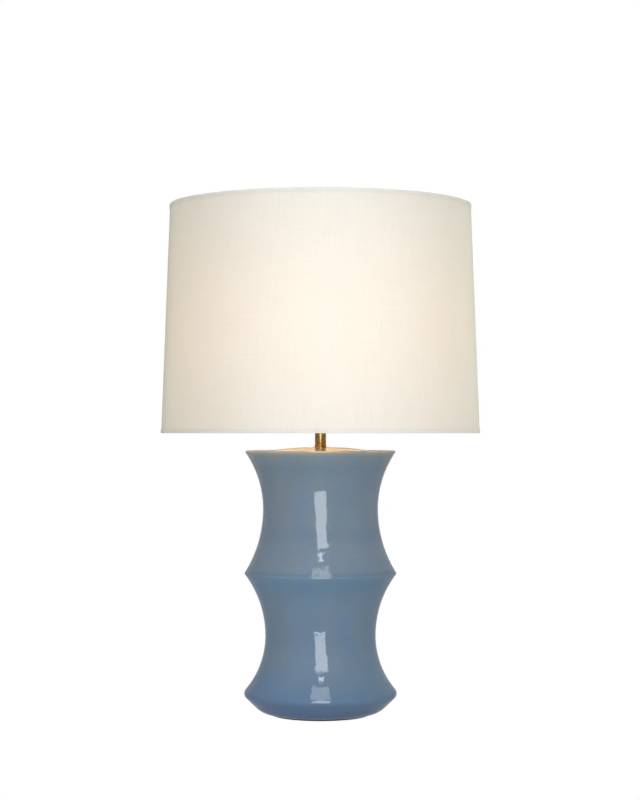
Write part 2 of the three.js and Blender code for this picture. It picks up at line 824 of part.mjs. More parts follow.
function rimRing(height) {
  const middle = shadeRadiusAt(height) - ringInset;
  const section = Array.from({ length: 6 }, (_, i) => {
    const angle = (i / 6) * 2 * Math.PI;
    return [middle + ringWire * Math.cos(angle), height + ringWire * Math.sin(angle)];
  });
  return turned(section, SHADE_SEGMENTS);
}
const ringSetback = edge + ringWire;
add("top_ring", rimRing(shadeTopZ - ringSetback), whiteEnamel);
add("bottom_ring", rimRing(shadeBottomZ + ringSetback), whiteEnamel);

// A folded strip of linen round each rim; way is +1 where it opens upwards.
function rimTrim(edgeZ, way) {
  const at = (inset, height) => [shadeRadiusAt(edgeZ + way * height) - inset, edgeZ + way * height];
  const t = trimThickness;
  const outline = [
    at(trimInner, 0),
    at(0, 0),
    at(0, trimWidth),
    at(t, trimWidth),
    at(t, t),
    at(trimInner - t, t),
    at(trimInner - t, trimWidth),
    at(trimInner, trimWidth),
  ];
  return turned(way > 0 ? outline : outline.reverse(), SHADE_SEGMENTS);
}
add("bottom_trim", rimTrim(shadeBottomZ, 1), linen);
add("top_trim", rimTrim(shadeTopZ, -1), linen);

// ---------------------------------------------------------------- spider
const hubBore = studRadius + 0.5;
add("spider_hub", ring(hubRadius, hubBore, hubZ + TOUCH, hubZ + hubThickness, 32), brass);

const armZ = hubZ + hubThickness / 2;
const armEnd = shadeRadiusAt(shadeTopZ) - trimInner - FIT - armWire;
for (let i = 0; i < armCount; i++) {
  const route = new THREE.CatmullRomCurve3(
    [
      V3(hubRadius + FIT, 0, armZ),
      V3(hubRadius + 6, 0, armZ),
      V3(armEnd * 0.5, 0, armZ),
      V3(armEnd - armRise - 8, 0, armZ),
      V3(armEnd - armRise, 0, armZ + 3),
      V3(armEnd - 4, 0, shadeTopZ - 7),
      V3(armEnd, 0, shadeTopZ - 3),
    ],
    false,
    "centripetal",
  );
  const angle = Math.PI / 6 + (i * 2 * Math.PI) / armCount;
  const arm = add("spider_arm_" + (i + 1), wire(route, armWire, 16, 8), brass);
  arm.rotation.z = angle;
}

// ---------------------------------------------------------------- finial
const finialWasherZ = hubZ + hubThickness + TOUCH;
add(
  "finial_washer",
  ring(finialWasherRadius, studRadius + FIT, finialWasherZ, finialWasherZ + finialWasherThickness),
  brass,
);

function finial() {
  const boreDepth = studLength - hubThickness - finialWasherThickness + 1;
  const ballZ = finialHeight - finialBallRadius;
  const ballStart = -0.9;
  const ball = Array.from({ length: 8 }, (_, i) => {
    const angle = ballStart + ((Math.PI / 2 - ballStart) * i) / 7;
    return [finialBallRadius * Math.cos(angle), ballZ + finialBallRadius * Math.sin(angle)];
  });
  ball[7][0] = 0;
  const outline = [
    [0, boreDepth],
    [studRadius + TOUCH, boreDepth],
    [studRadius + TOUCH, 0],
    [finialFootRadius, 0],
    [finialFootRadius, 2.2],
    [finialFootRadius - 1.6, 3.4],
    [studRadius + 1.6, 8],
    [studRadius + 1.6, ballZ + ball[0][1] - ballZ - 3],
    [ball[0][0] - 1, ball[0][1] - 1.6],
    ...ball,
  ];
  return turned(outline).translate(0, 0, finialZ);
}
add("finial", finial(), brass);

export default lamp;
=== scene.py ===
# %% [markdown]
# # A table lamp with a linen shade
#
# This lesson dresses a table lamp in Blender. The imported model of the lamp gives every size, place
# and moving joint. Here each part gets the fine shape and the finish of the real thing: a glazed
# ceramic body, a brass neck, a lampholder with its bulb, a harp, and a tapered drum shade of linen.
# Every length is in metres. The lamp stands on the origin, +Z is up and -Y is the front.

# %% Load the lamp's frame
import math

import bpy
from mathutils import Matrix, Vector


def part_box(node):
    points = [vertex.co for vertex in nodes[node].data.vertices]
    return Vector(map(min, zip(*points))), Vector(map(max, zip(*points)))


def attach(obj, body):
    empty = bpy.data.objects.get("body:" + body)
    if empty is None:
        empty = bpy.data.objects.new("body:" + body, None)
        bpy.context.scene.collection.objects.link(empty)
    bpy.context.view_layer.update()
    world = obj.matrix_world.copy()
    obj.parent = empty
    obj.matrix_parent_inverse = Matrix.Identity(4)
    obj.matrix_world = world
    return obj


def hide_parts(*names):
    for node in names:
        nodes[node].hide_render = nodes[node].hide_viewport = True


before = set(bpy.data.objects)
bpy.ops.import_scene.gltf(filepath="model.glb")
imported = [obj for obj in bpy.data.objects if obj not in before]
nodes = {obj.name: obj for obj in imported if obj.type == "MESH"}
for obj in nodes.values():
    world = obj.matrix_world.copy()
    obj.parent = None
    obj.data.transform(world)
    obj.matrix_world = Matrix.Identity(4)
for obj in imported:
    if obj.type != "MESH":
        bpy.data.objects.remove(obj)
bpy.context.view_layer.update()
MM = 0.001

# %% [markdown]
# ## The camera first
#
# The camera stands well back with a long lens, about as high as the shade's lower edge, so that the
# edge is seen as a straight line and the top as a low curve. It comes first and has a real distance,
# height and lens, so that proportions can be judged while the pieces are made.

# %% Set the camera
camera_x = -0.6 * MM
camera_distance = 2.537
camera_height = 0.3578
camera_pitch = math.radians(0.95)
lens_mm, sensor_mm = 89.5, 36
bpy.ops.object.select_all(action="DESELECT")
bpy.ops.object.camera_add(location=(camera_x, -camera_distance, camera_height),
                          rotation=(math.pi / 2 + camera_pitch, 0, 0))
camera = bpy.context.active_object
camera.name = "camera"
camera.data.sensor_width = sensor_mm
camera.data.lens = lens_mm
bpy.context.scene.camera = camera
print("the camera stands at", tuple(round(v, 3) for v in camera.location))

# %% [markdown]
# ## Workshop tools for turned parts
#
# Almost everything on a lamp is turned on a lathe or thrown on a wheel. The tool for that shape is
# Spin: draw half of the cross-section as a chain of points, then sweep it round the axis. Drawing
# the chain with Extrude, one point after another, is how it is done by hand.

# %% Draw a profile and spin it
QUARTER = math.pi / 2
ROUND = 96  # steps round a small part
WELD = 0.002 * MM  # points closer than this become one


def pick(piece):
    bpy.ops.object.select_all(action="DESELECT")
    piece.select_set(True)
    bpy.context.view_layer.objects.active = piece


def draw_chain(name, points):
    """A chain of (x, z) points in the XZ plane, extruded point by point. It stays in edit mode."""
    bpy.ops.object.select_all(action="DESELECT")
    bpy.ops.mesh.primitive_plane_add(size=MM)
    piece = bpy.context.active_object
    piece.name = piece.data.name = name
    bpy.ops.object.mode_set(mode="EDIT")
    bpy.ops.mesh.select_all(action="SELECT")
    bpy.ops.mesh.merge(type="CENTER")
    bpy.ops.transform.translate(value=(points[0][0], 0, points[0][1]))
    for (x0, z0), (x1, z1) in zip(points, points[1:]):
        step = {"value": (x1 - x0, 0, z1 - z0)}
        bpy.ops.mesh.extrude_region_move(TRANSFORM_OT_translate=step)
    return piece


def close_surface():
    """In edit mode: merges doubled points and turns every face outwards."""
    bpy.ops.mesh.select_all(action="SELECT")
    bpy.ops.mesh.remove_doubles(threshold=WELD)
    bpy.ops.mesh.normals_make_consistent(inside=False)
    bpy.ops.object.mode_set(mode="OBJECT")


def smooth(piece, angle=40):
    pick(piece)
    bpy.ops.object.shade_smooth_by_angle(angle=math.radians(angle))


def modify(piece, kind, **settings):
    """Adds a modifier, sets it and applies it."""
    pick(piece)
    bpy.ops.object.modifier_add(type=kind)
    modifier = piece.modifiers[-1]
    for key, value in settings.items():
        setattr(modifier, key, value)
    bpy.ops.object.modifier_apply(modifier=modifier.name)


def bevel(piece, width, angle=35, segments=3):
    modify(piece, "BEVEL", width=width, segments=segments, limit_method="ANGLE",
           angle_limit=math.radians(angle))


def spun(name, profile, closed=False, steps=ROUND, edge=0.0, sweep=math.tau):
    """Spins (radius, height) points about the lamp's axis. edge is the width of its bevels."""
    points = [*profile, profile[0]] if closed else list(profile)
    piece = draw_chain(name, points)
    bpy.ops.mesh.select_all(action="SELECT")
    bpy.ops.mesh.remove_doubles(threshold=WELD)
    bpy.ops.mesh.select_all(action="SELECT")
    bpy.ops.mesh.spin(steps=steps, angle=sweep, center=(0, 0, 0), axis=(0, 0, 1))
    close_surface()
    if edge:
        bevel(piece, edge)
    smooth(piece)
    return piece


def place(piece, at=(0, 0, 0), turn=(0, 0, 0)):
    """Moves and turns a piece, then writes its place into its mesh."""
    pick(piece)
    piece.location = at
    piece.rotation_euler = turn
    bpy.ops.object.transform_apply(location=True, rotation=True, scale=True)
    return piece


def drill(piece, radius, depth, at, turn=(0, 0, 0)):
    """Cuts a round hole with a cylinder as the drill, which is removed afterwards."""
    bpy.ops.object.select_all(action="DESELECT")
    bpy.ops.mesh.primitive_cylinder_add(
        vertices=48, radius=radius, depth=depth, location=at, rotation=turn)
    cutter = bpy.context.active_object
    modify(piece, "BOOLEAN", object=cutter, operation="DIFFERENCE", solver="EXACT")
    bpy.data.objects.remove(cutter)
    smooth(piece)


def stands_for(piece, body, node):
    """The piece replaces a part of the frame and rides with its body."""
    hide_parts(node)
    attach(piece, body)
    print(piece.name, "rides on", body, "with", len(piece.data.polygons), "faces")


# %% [markdown]
# ## Curves of a profile
#
# A thrown body looks right when its outline is made of true arcs that meet at clean corners. Small
# functions draw them: an arc that leaves a waist upright, a rounded corner, a plain arc, an easy
# S-curve between two directions, and the rings of a thread. Small parts are drawn in millimetres
# above the foot of the part that they stand for.

# %% Arcs for profiles
def waist_arc(waist, end, steps=22):
    """Points of an arc that is upright at the waist and ends at a corner."""
    out, up = end[0] - waist[0], end[1] - waist[1]
    radius = (out * out + up * up) / (2 * out)
    sweep = math.asin(abs(up) / radius)
    side = math.copysign(1, up)
    angles = [sweep * i / steps for i in range(steps + 1)]
    return [(waist[0] + radius * (1 - math.cos(a)), waist[1] + side * radius * math.sin(a))
            for a in angles]


def rounded(before, corner, after, radius, steps=8):
    """Points that round a corner between two others."""
    b = Vector(corner)
    to_a, to_c = (Vector(before) - b).normalized(), (Vector(after) - b).normalized()
    half = to_a.angle(to_c) / 2
    middle = b + (to_a + to_c).normalized() * (radius / math.sin(half))
    first = b + to_a * (radius / math.tan(half)) - middle
    last = b + to_c * (radius / math.tan(half)) - middle
    start = math.atan2(first.y, first.x)
    sweep = math.remainder(math.atan2(last.y, last.x) - start, math.tau)
    angles = [start + sweep * i / steps for i in range(steps + 1)]
    return [(middle.x + radius * math.cos(a), middle.y + radius * math.sin(a)) for a in angles]


def arc(centre, radius, start, end, steps=10):
    """Points of an arc about a centre, from one angle to another, in degrees."""
    angles = [math.radians(start + (end - start) * i / steps) for i in range(steps + 1)]
    return [(centre[0] + radius * math.cos(a), centre[1] + radius * math.sin(a)) for a in angles]


def s_curve(a, b, c, d, steps=12):
    """Points of a cubic curve from a to d that leaves towards b and arrives from c."""
    points = []
    for i in range(steps + 1):
        t = i / steps
        u = 1 - t
        weights = (u * u * u, 3 * u * u * t, 3 * u * t * t, t * t * t)
        points.append(tuple(sum(w * p[k] for w, p in zip(weights, (a, b, c, d))) for k in (0, 1)))
    return points


def from_mm(points, base=0.0):
    """(radius, height) in millimetres above a base height in metres, as metres."""
    return [(r * MM, base + z * MM) for r, z in points]


def height_mm(node):
    """How tall a part of the frame is, in millimetres."""
    low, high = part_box(node)
    return (high.z - low.z) / MM


def turned_part(name, profile, body, node, **settings):
    """Spins a profile in millimetres above a part's foot, and lets it stand for that part."""
    piece = spun(name, from_mm(profile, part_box(node)[0].z), **settings)
    stands_for(piece, body, node)
    return piece


def thread(crest, root, z0, z1, pitch, steps=6):
    """A rolled thread in section: rounded rings from z0 to z1, in millimetres."""
    count = round((z1 - z0) / pitch * steps)
    middle, depth = (crest + root) / 2, (crest - root) / 2
    return [(middle - depth * math.cos(math.tau * i / steps), z0 + (z1 - z0) * i / count)
            for i in range(count + 1)]


# %% [markdown]
# ## The ceramic body
#
# The body is slip-cast: one shell with a level floor some way up inside the foot. Its outside is two
# waisted sections that meet at a sharp ridge. The bottom is undercut and rounded, and a thin lip
# stands round the shallow dome that closes the top. The profile is one closed loop, outside, dome,
# bore, inside and recess, so the spin gives a shell with a real wall.

# %% The body's outside
foot_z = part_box("ceramic_body")[0].z
body_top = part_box("ceramic_body")[1].z
foot_corner = (74.1 * MM, foot_z)
flare_corner = (99.7 * MM, foot_z + 24.8 * MM)
lower_waist = (70.2 * MM, foot_z + 98.2 * MM)
ridge = (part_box("ceramic_body")[1].x, foot_z + 177.2 * MM)
upper_waist = (73.2 * MM, foot_z + 259.1 * MM)
lip_corner = (97.5 * MM, foot_z + 333.8 * MM)
valley = (66 * MM, lip_corner[1] - 0.9 * MM)
wall, bore = 6.5 * MM, 5.3 * MM
foot_round, nose_round, ridge_round, lip_round = 28 * MM, 7 * MM, 2.2 * MM, 2 * MM


def body_outside():
    """From the foot's flat up to the lip."""
    lower = waist_arc(lower_waist, flare_corner)[::-1]
    below_ridge = waist_arc(lower_waist, ridge)
    above_ridge = waist_arc(upper_waist, ridge)[::-1]
    upper = waist_arc(upper_waist, lip_corner)
    nose = rounded(foot_corner, flare_corner, lower[1], nose_round, 12)
    return [
        *rounded((0, foot_z), foot_corner, flare_corner, foot_round, 12),
        *nose,
        *[p for p in lower if nose[-1][1] + MM < p[1] < lower_waist[1]],
        *below_ridge[:-1],
        *rounded(below_ridge[-2], ridge, above_ridge[1], ridge_round, 6),
        *above_ridge[1:-1],
        *upper[:-1],
        *rounded(upper[-2], lip_corner, valley, lip_round, 8),
    ]


def body_dome(steps=18):
    """From the valley inside the lip up to the bore."""
    rise = body_top - valley[1]
    radius = (valley[0] ** 2 + rise**2) / (2 * rise)
    sizes = [valley[0] + (bore - valley[0]) * i / steps for i in range(steps + 1)]
    cap = [(r, body_top - radius + math.sqrt(radius**2 - r**2)) for r in sizes]
    ease = rounded((lip_corner[0] - 6 * MM, valley[1] + 0.2 * MM), valley, cap[3], 70 * MM, 6)
    return [*ease, *[p for p in cap if p[0] < ease[-1][0] - 2 * MM]]


outside = body_outside()
print("the outside has", len(outside), "points, from", round(outside[0][1], 4), "to",
      round(outside[-1][1], 4))

# %% [markdown]
# The inside follows the outside at the wall's thickness. Nobody sees it in use, but a shell with its
# real wall behaves like ceramic in every later job, from slicing the mesh to weighing it.

# %% The body's inside and shell
floor_top = foot_z + 38 * MM
floor_under = foot_z + 32 * MM
cone_slope = (flare_corner[0] - foot_corner[0]) / (flare_corner[1] - foot_corner[1])
ring_inside = outside[0][0] - 8 * MM
recess_height = 22.3 * MM
recess_edge = ring_inside + recess_height * cone_slope


def body_inside():
    """From the floor's bore up to the dome's bore."""
    waist_in = (lower_waist[0] - wall, lower_waist[1])
    ridge_in = (ridge[0] - 1.4 * wall, ridge[1])
    upper_in = (upper_waist[0] - wall, upper_waist[1])
    ceiling = valley[1] - wall
    low = waist_arc(waist_in, (flare_corner[0] - 12 * MM, flare_corner[1]))[::-1]
    low = [p for p in low if p[1] > floor_top + 3 * MM]
    return [
        (bore, floor_top),
        (low[0][0] - 2 * MM, floor_top),
        *low[:-1],
        *waist_arc(waist_in, ridge_in, 16),
        *waist_arc(upper_in, ridge_in, 16)[1:-1][::-1],
        *waist_arc(upper_in, (lip_corner[0] - 1.6 * wall, ceiling - 2 * MM), 16),
        (valley[0], ceiling),
        (bore, body_top - wall),
    ]


recess = [
    (bore, floor_under),
    (recess_edge, floor_under),
    (recess_edge, foot_z + recess_height),
    (ring_inside, foot_z),
]
body_loop = [*outside, *body_dome(), *body_inside()[::-1], *recess]
body = spun("glazed_body", body_loop, closed=True, steps=192)
print("the shell's profile has", len(body_loop), "points")

# %% [markdown]
# The hole for the cord goes through the back of the lower cone. It is drilled while the clay is
# leather-hard, so its edge is crisp. A Boolean modifier makes the same cut.

# %% Drill the cord hole
bush_axis = foot_z + 12 * MM
cord_hole, hole_depth = 5.6 * MM, 70 * MM


def cone_back(z):
    """How far back the lower cone's outside is at a height."""
    return foot_corner[0] + (z - foot_z) * cone_slope


drill(body, cord_hole, hole_depth, (0, cone_back(bush_axis), bush_axis), (QUARTER, 0, 0))
stands_for(body, "root", "ceramic_body")

# %% [markdown]
# ## Felt and cord bush
#
# A felt disc is glued under the foot so that the glaze can't scratch the table. Felt is cut with a
# knife, so its edge is square but soft: a bevel is enough. The bush is a rubber grommet. It is spun
# as a reel, and then each lip is turned to lie flat on the cone that it clips over.

# %% The felt pad
def edit_points(piece, test):
    """Opens edit mode with only those points selected whose place passes the test."""
    pick(piece)
    bpy.ops.object.mode_set(mode="EDIT")
    bpy.ops.mesh.select_mode(type="VERT")
    bpy.ops.mesh.select_all(action="DESELECT")
    bpy.ops.object.mode_set(mode="OBJECT")
    for point in piece.data.vertices:
        point.select = bool(test(point.co))
    bpy.ops.object.mode_set(mode="EDIT")


felt_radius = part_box("felt_pad")[1].x
felt = spun("felt_disc", [(0, 0), (felt_radius / 2, 0), (felt_radius, 0), (felt_radius, foot_z),
                          (felt_radius / 2, foot_z), (0, foot_z)], steps=128, edge=0.5 * MM)
stands_for(felt, "root", "felt_pad")

# %% The cord bush
wall_across = cone_back(foot_z) - ring_inside
lip_radius, lip_thick, lip_proud = 8.6, 1.6, 1.1
cone_lean = math.atan(cone_slope)
reel_length = wall_across / MM + 2 * lip_proud
reel = [
    (3.3, 0), (lip_radius - 0.5, 0), (lip_radius, 0.4), (lip_radius, lip_thick - 0.2),
    (lip_radius - 0.4, lip_thick), (5.4, lip_thick + 0.6), (5.4, reel_length - lip_thick - 0.6),
    (lip_radius - 0.4, reel_length - lip_thick), (lip_radius, reel_length - lip_thick + 0.2),
    (lip_radius, reel_length - 0.4), (lip_radius - 0.5, reel_length), (3.3, reel_length),
]
bush = spun("cord_grommet", from_mm(reel), closed=True, steps=64, edge=0.15 * MM)
place(bush, (0, cone_back(bush_axis) + lip_proud * MM, bush_axis), (QUARTER, 0, 0))
half_way = cone_back(bush_axis) - wall_across / 2
for outer in (True, False):
    lip_y = cone_back(bush_axis) + (lip_proud * MM if outer else -lip_proud * MM - wall_across)
    edit_points(bush, lambda p: (p.y > half_way) == outer)
    bpy.ops.transform.rotate(value=cone_lean, orient_axis="X",
                             center_override=(0, lip_y, bush_axis))
    bpy.ops.object.mode_set(mode="OBJECT")
stands_for(bush, "root", "cord_bush")

# %% [markdown]
# ## The neck
#
# A short brass tube carries the lampholder above the body, and a check ring with a groove hides the
# joint between brass and glaze. Both are turned from bar, so their edges get a fine bevel that
# catches a line of light.

# %% Check ring and tube
check_groove = [(5.3, 0), (7.1, 0), (7.5, 0.4), (7.5, 1.2), (7.2, 1.6), (7.5, 2.0), (7.5, 2.8),
                (7.2, 3.2), (5.3, 3.2)]
collar = turned_part("check_ring", check_groove, "root", "neck_collar", closed=True, edge=0.12 * MM)

height = height_mm("neck_tube")
tube_wall = [(5.8, 0), (7, 0), (7, height * 0.5), (7, height), (5.8, height)]
tube = turned_part("neck_sleeve", tube_wall, "root", "neck_tube", closed=True, edge=0.3 * MM)

# %% [markdown]
# ## The harp's saddle
#
# The saddle is a stamped strip of brass. It is flat and wide where the lampholder clamps it, narrows
# towards each side and turns up into two ears. A drawn centre line, extruded to its width, tapered
# by scaling its rows, and given its thickness by Solidify is close to how the press makes it.

# %% Stamp the saddle
saddle_low, saddle_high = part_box("harp_saddle")
strip_thick = 1.6 * MM
strip_z = saddle_low.z + strip_thick / 2
ear_x = saddle_high.x - strip_thick / 2
bend = 5 * MM
middle_reach, taper_length, ear_share = 10 * MM, 15 * MM, 5 / 14.6
tip_length, tip_cut = 3 * MM, 0.45
half_line = [
    *[((ear_x - bend) * i / 12, strip_z) for i in range(1, 12)],
    *arc((ear_x - bend, strip_z + bend), bend, -90, 0, 8),
    *[(ear_x, strip_z + bend + (saddle_high.z - strip_z - bend) * i / 6) for i in range(1, 7)],
]
line = [*[(-x, z) for x, z in half_line[::-1]], (0, strip_z), *half_line]
saddle = draw_chain("harp_strip", line)
bpy.ops.mesh.select_all(action="SELECT")
bpy.ops.transform.translate(value=(0, -saddle_high.y, 0))
bpy.ops.mesh.extrude_region_move(TRANSFORM_OT_translate={"value": (0, 2 * saddle_high.y, 0)})
close_surface()


def strip_width(x, z):
    """The strip's width as a share of its middle: wide in the middle, narrow at the ears."""
    ease = min(max((abs(x) - middle_reach) / taper_length, 0), 1)
    share = 1 + (ear_share - 1) * ease * ease * (3 - 2 * ease)
    near_top = min(max((z - saddle_high.z + tip_length) / tip_length, 0), 1)
    return share * (1 - tip_cut * near_top**2)


for x, z in line:
    edit_points(saddle, lambda p: abs(p.x - x) < 0.01 * MM and abs(p.z - z) < 0.01 * MM)
    bpy.ops.transform.resize(value=(1, strip_width(x, z), 1), center_override=(x, 0, z))
    bpy.ops.object.mode_set(mode="OBJECT")
modify(saddle, "SOLIDIFY", thickness=strip_thick, offset=0)
drill(saddle, 5.2 * MM, 10 * MM, (0, 0, strip_z))
bevel(saddle, 0.25 * MM)
smooth(saddle)
stands_for(saddle, "root", "harp_saddle")

# %% [markdown]
# ## Wires
#
# The harp and the shade's arms are drawn wire. A chain of points converted to a curve can be given a
# round section, which keeps its thickness through every bend, and then made a mesh again. The
# shade's rings are wire too, but as plain circles they are spun.

# %% Bend a wire
def wire(name, points, radius, sides=8):
    """A round wire along a chain of (x, z) points, as a mesh with rounded ends."""
    piece = draw_chain(name, points)
    bpy.ops.object.mode_set(mode="OBJECT")
    pick(piece)
    bpy.ops.object.convert(target="CURVE")
    curve = bpy.context.active_object
    curve.data.dimensions = "3D"
    curve.data.bevel_depth = radius
    curve.data.bevel_resolution = sides // 2
    curve.data.use_fill_caps = True
    bpy.ops.object.convert(target="MESH")
    made = bpy.context.active_object
    made.name = made.data.name = name
    bpy.ops.object.mode_set(mode="EDIT")
    close_surface()
    bevel(made, radius * 0.3, 60, 2)
    smooth(made, 50)
    return made


def easy_path(points, steps=8):
    """A smooth path through every point, with more points between them."""
    path = []
    ends = [points[0], *points, points[-1]]
    for p0, p1, p2, p3 in zip(ends, ends[1:], ends[2:], ends[3:]):
        for i in range(steps):
            t = i / steps
            path.append(tuple(
                0.5 * (2 * b + (c - a) * t + (2 * a - 5 * b + 4 * c - d) * t * t
                       + (3 * b - a - 3 * c + d) * t**3)
                for a, b, c, d in zip(p0, p1, p2, p3)))
    return [*path, points[-1]]


# %% The harp
holder_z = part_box("socket_cap")[0].z
harp_half = [(27, 8), (27, 20.95), (27, 33.9), (27.6, 45), (45, 78.2), (55.5, 116.2), (57, 149.5),
             (51, 186.3), (33, 216.2), (18, 228.8), (8, 230), (0, 230)]
right_side = from_mm(harp_half, holder_z)
left_side = [(-x, z) for x, z in right_side[:-1]]
harp = wire("harp_wire", easy_path([*left_side, *right_side[::-1]], 6), 1.7 * MM, 12)
stands_for(harp, "root", "harp_bow")

# %% [markdown]
# ## The harp's stud and sleeves
#
# A swivel drum is riveted to the top of the harp. Its threaded stud takes the shade's hub and the
# finial. Two brass sleeves slide down over the feet of the harp and lock them to the ears. A thread
# this fine can be drawn as rings: the eye can't tell them from a helix.

# %% Swivel drum and locking sleeves
stud_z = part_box("harp_stud")[0].z
stud = [(0, 0), (4.6, 0), (5.2, 0.5), (5.2, 1.5), (6, 2.3), (6, 7.0), (5.5, 7.6), (5.5, 8.2),
        (6, 8.8), (6, 9.5), (3.4, 9.5), (2.6, 10), *thread(3.0, 2.55, 10.4, 24.6, 0.94, 4),
        (2.4, 25.5), (0, 25.5)]
swivel = spun("harp_swivel", from_mm(stud, stud_z), steps=64)
bevel(swivel, 0.12 * MM, 60, 2)
smooth(swivel)
stands_for(swivel, "root", "harp_stud")

sleeve_x = 27.95 * MM
ferrule = [(3.94, 0), (4.94, 0), (4.94, 1.6), (4.7, 2.0), (4.94, 2.4), (4.94, 10), (4.94, 17.4),
           (4.7, 18), (4.94, 18.6), (4.94, 20), (3.94, 20), (3.94, 10)]
sleeves = []
for side, word in ((-1, "left"), (1, "right")):
    sleeve_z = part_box(f"harp_sleeve_{word}")[0].z
    sleeve = spun(f"lock_ferrule_{word}", from_mm(ferrule, sleeve_z), closed=True, steps=64,
                  edge=0.15 * MM)
    place(sleeve, (side * sleeve_x, 0, 0))
    stands_for(sleeve, f"sleeve_{word}", f"harp_sleeve_{word}")
    sleeves.append(sleeve)

# %% [markdown]
# ## The lampholder
#
# A lampholder has a spun brass cap that screws on the rod, a brass shell that snaps into it, a fibre
# sleeve inside the shell, and a threaded aluminium shell that grips the bulb. Each is a thin wall,
# so each profile is a closed loop and not a single line.

# %% Cap and shell
cap = [(5.2, 0), (8.3, 0), (8.6, 0.3), (8.6, 5.2),
       *s_curve((8.8, 6.2), (9.6, 9.6), (16.6, 9.2), (17.55, 14), 10),
       (17.55, 18.6), (17.75, 19.0), (18.05, 19.5), (18.05, 20.2), (17.8, 20.8), (17.4, 21),
       (16.75, 21), (16.75, 14.8), *s_curve((16.2, 12.4), (15.4, 10.6), (10, 10.4), (8, 7.6), 8),
       (5.2, 7.2)]
holder_cap = turned_part("holder_cap", cap, "root", "socket_cap", closed=True, edge=0.08 * MM)

height = height_mm("socket_shell")
shell = [(15.65, 0), (16.45, 0), (16.45, 8), (16.1, 8.6), (16.1, 9.8), (16.45, 10.4),
         (16.45, height - 9), *arc((16.25, height - 7.6), 0.7, -60, 60, 6),
         (16.45, height - 6.2), (16.45, height - 2.4), (16.8, height - 1.4),
         (16.95, height - 0.7), (16.7, height), (15.9, height), (15.65, height - 0.6)]
shell_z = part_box("socket_shell")[0].z
holder_shell = spun("holder_shell", from_mm(shell, shell_z), closed=True, edge=0.06 * MM)
switch_z = (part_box("switch_stem")[0].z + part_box("switch_stem")[1].z) / 2
drill(holder_shell, 2.7 * MM, 8 * MM, (0, -16 * MM, switch_z), (QUARTER, 0, 0))
stands_for(holder_shell, "root", "socket_shell")

# %% Fibre sleeve and screw shell
fibre_z, fibre_top = (corner.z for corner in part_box("insulating_sleeve"))
fibre = spun("fibre_sleeve", [(14.75 * MM, fibre_z), (15.35 * MM, fibre_z),
                              (15.35 * MM, fibre_top), (14.75 * MM, fibre_top)],
             closed=True, edge=0.15 * MM)
drill(fibre, 2.6 * MM, 8 * MM, (0, -15 * MM, switch_z), (QUARTER, 0, 0))
stands_for(fibre, "root", "insulating_sleeve")

cap_pitch, sheet_mm = 3.63, 0.42
height = height_mm("screw_shell")
grip = thread(14.4, 13.6, 2, height - 3.4, cap_pitch, 8)
grip_inside = [(r - sheet_mm, z) for r, z in grip[::-1]]
grip_wall = [(13.2, 0), (14.2, 0), *grip, (14.4, height), (13.98, height), *grip_inside,
             (13.2, 0.5)]
screw = turned_part("grip_shell", grip_wall, "root", "screw_shell", closed=True, steps=80)

# %% [markdown]
# ## The switch
#
# A knob of black phenolic on a brass stem turns the lamp on. The knob is moulded with flutes for the
# fingers. They are cut by pulling every fourth column of points inwards, and one level of
# subdivision then rounds them as the mould does.

# %% Stem and fluted knob
stem_low, stem_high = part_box("switch_stem")
stem_length = (stem_high.y - stem_low.y) / MM
stem = spun("switch_spindle", from_mm([(0, 0), (2, 0), (2, stem_length * 0.5), (2, stem_length),
                                       (0, stem_length)]), steps=48, edge=0.25 * MM)
place(stem, (0, stem_high.y, switch_z), (QUARTER, 0, 0))
stands_for(stem, "switch", "switch_stem")

knob_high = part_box("switch_knob")[1]
flutes, flute_depth = 10, 0.13
knob_side = [(0, 0), (3, 0), (4.4, 0), (4.9, 0.2), (5.2, 0.9), (5.5, 2.4), (5.9, 8.6), (5.85, 10.4),
             (5.4, 11.5), (4.4, 11.9), (2.4, 11.7), (0, 11.6)]
knob = spun("fluted_knob", from_mm(knob_side), steps=flutes * 4)
for flute in range(flutes):
    angle = math.tau * flute / flutes
    edit_points(knob, lambda p: p.z > 1.5 * MM and math.hypot(p.x, p.y) > 5 * MM
                and abs(math.remainder(math.atan2(p.y, p.x) - angle, math.tau)) < 0.05)
    bpy.ops.transform.resize(value=(1 - flute_depth, 1 - flute_depth, 1), center_override=(0, 0, 0))
    bpy.ops.object.mode_set(mode="OBJECT")
modify(knob, "SUBSURF", levels=1, render_levels=1)
smooth(knob, 60)
place(knob, (0, knob_high.y, switch_z), (QUARTER, 0, 0))
stands_for(knob, "switch", "switch_knob")

# %% [markdown]
# ## The bulb
#
# The bulb screws down with its cap. Its globe is blown opal glass, one millimetre thick, open where
# it is cemented into the cap. The contact at its foot is a drop of solder on a cone of black glass.

# %% Foot and cap of the bulb
drop = [(0, 0), (1.6, 0.02), (3.2, 0.3), (4.2, 1.0), (4.6, 1.8), (4.6, 2.4), (0, 2.4)]
tip = turned_part("bulb_contact_tip", drop, "bulb_contact", "bulb_tip", steps=64)

foot_cone = s_curve((5.2, 0.1), (7.6, 0.6), (9.6, 2.4), (10.6, 3.3), 6)
foot_side = [(0, 0), (4.9, 0), *foot_cone, (10.6, 3.6), (0, 3.6)]
insulator = turned_part("bulb_foot_glass", foot_side, "bulb", "bulb_insulator", steps=64)

screw_cap = [(10.65, 0), (11.0, 0), (12.0, 1.2), *thread(12.85, 12.35, 2.2, 16.7, cap_pitch, 8)[1:],
             (12.4, 17.4), (12.6, 18.6), (12.6, 22.4), (12.75, 23), (12.2, 23), (12.15, 17),
             (11.9, 2.4), (10.65, 0.8)]
bulb_cap = turned_part("bulb_screw_cap", screw_cap, "bulb", "bulb_cap", closed=True, steps=80)

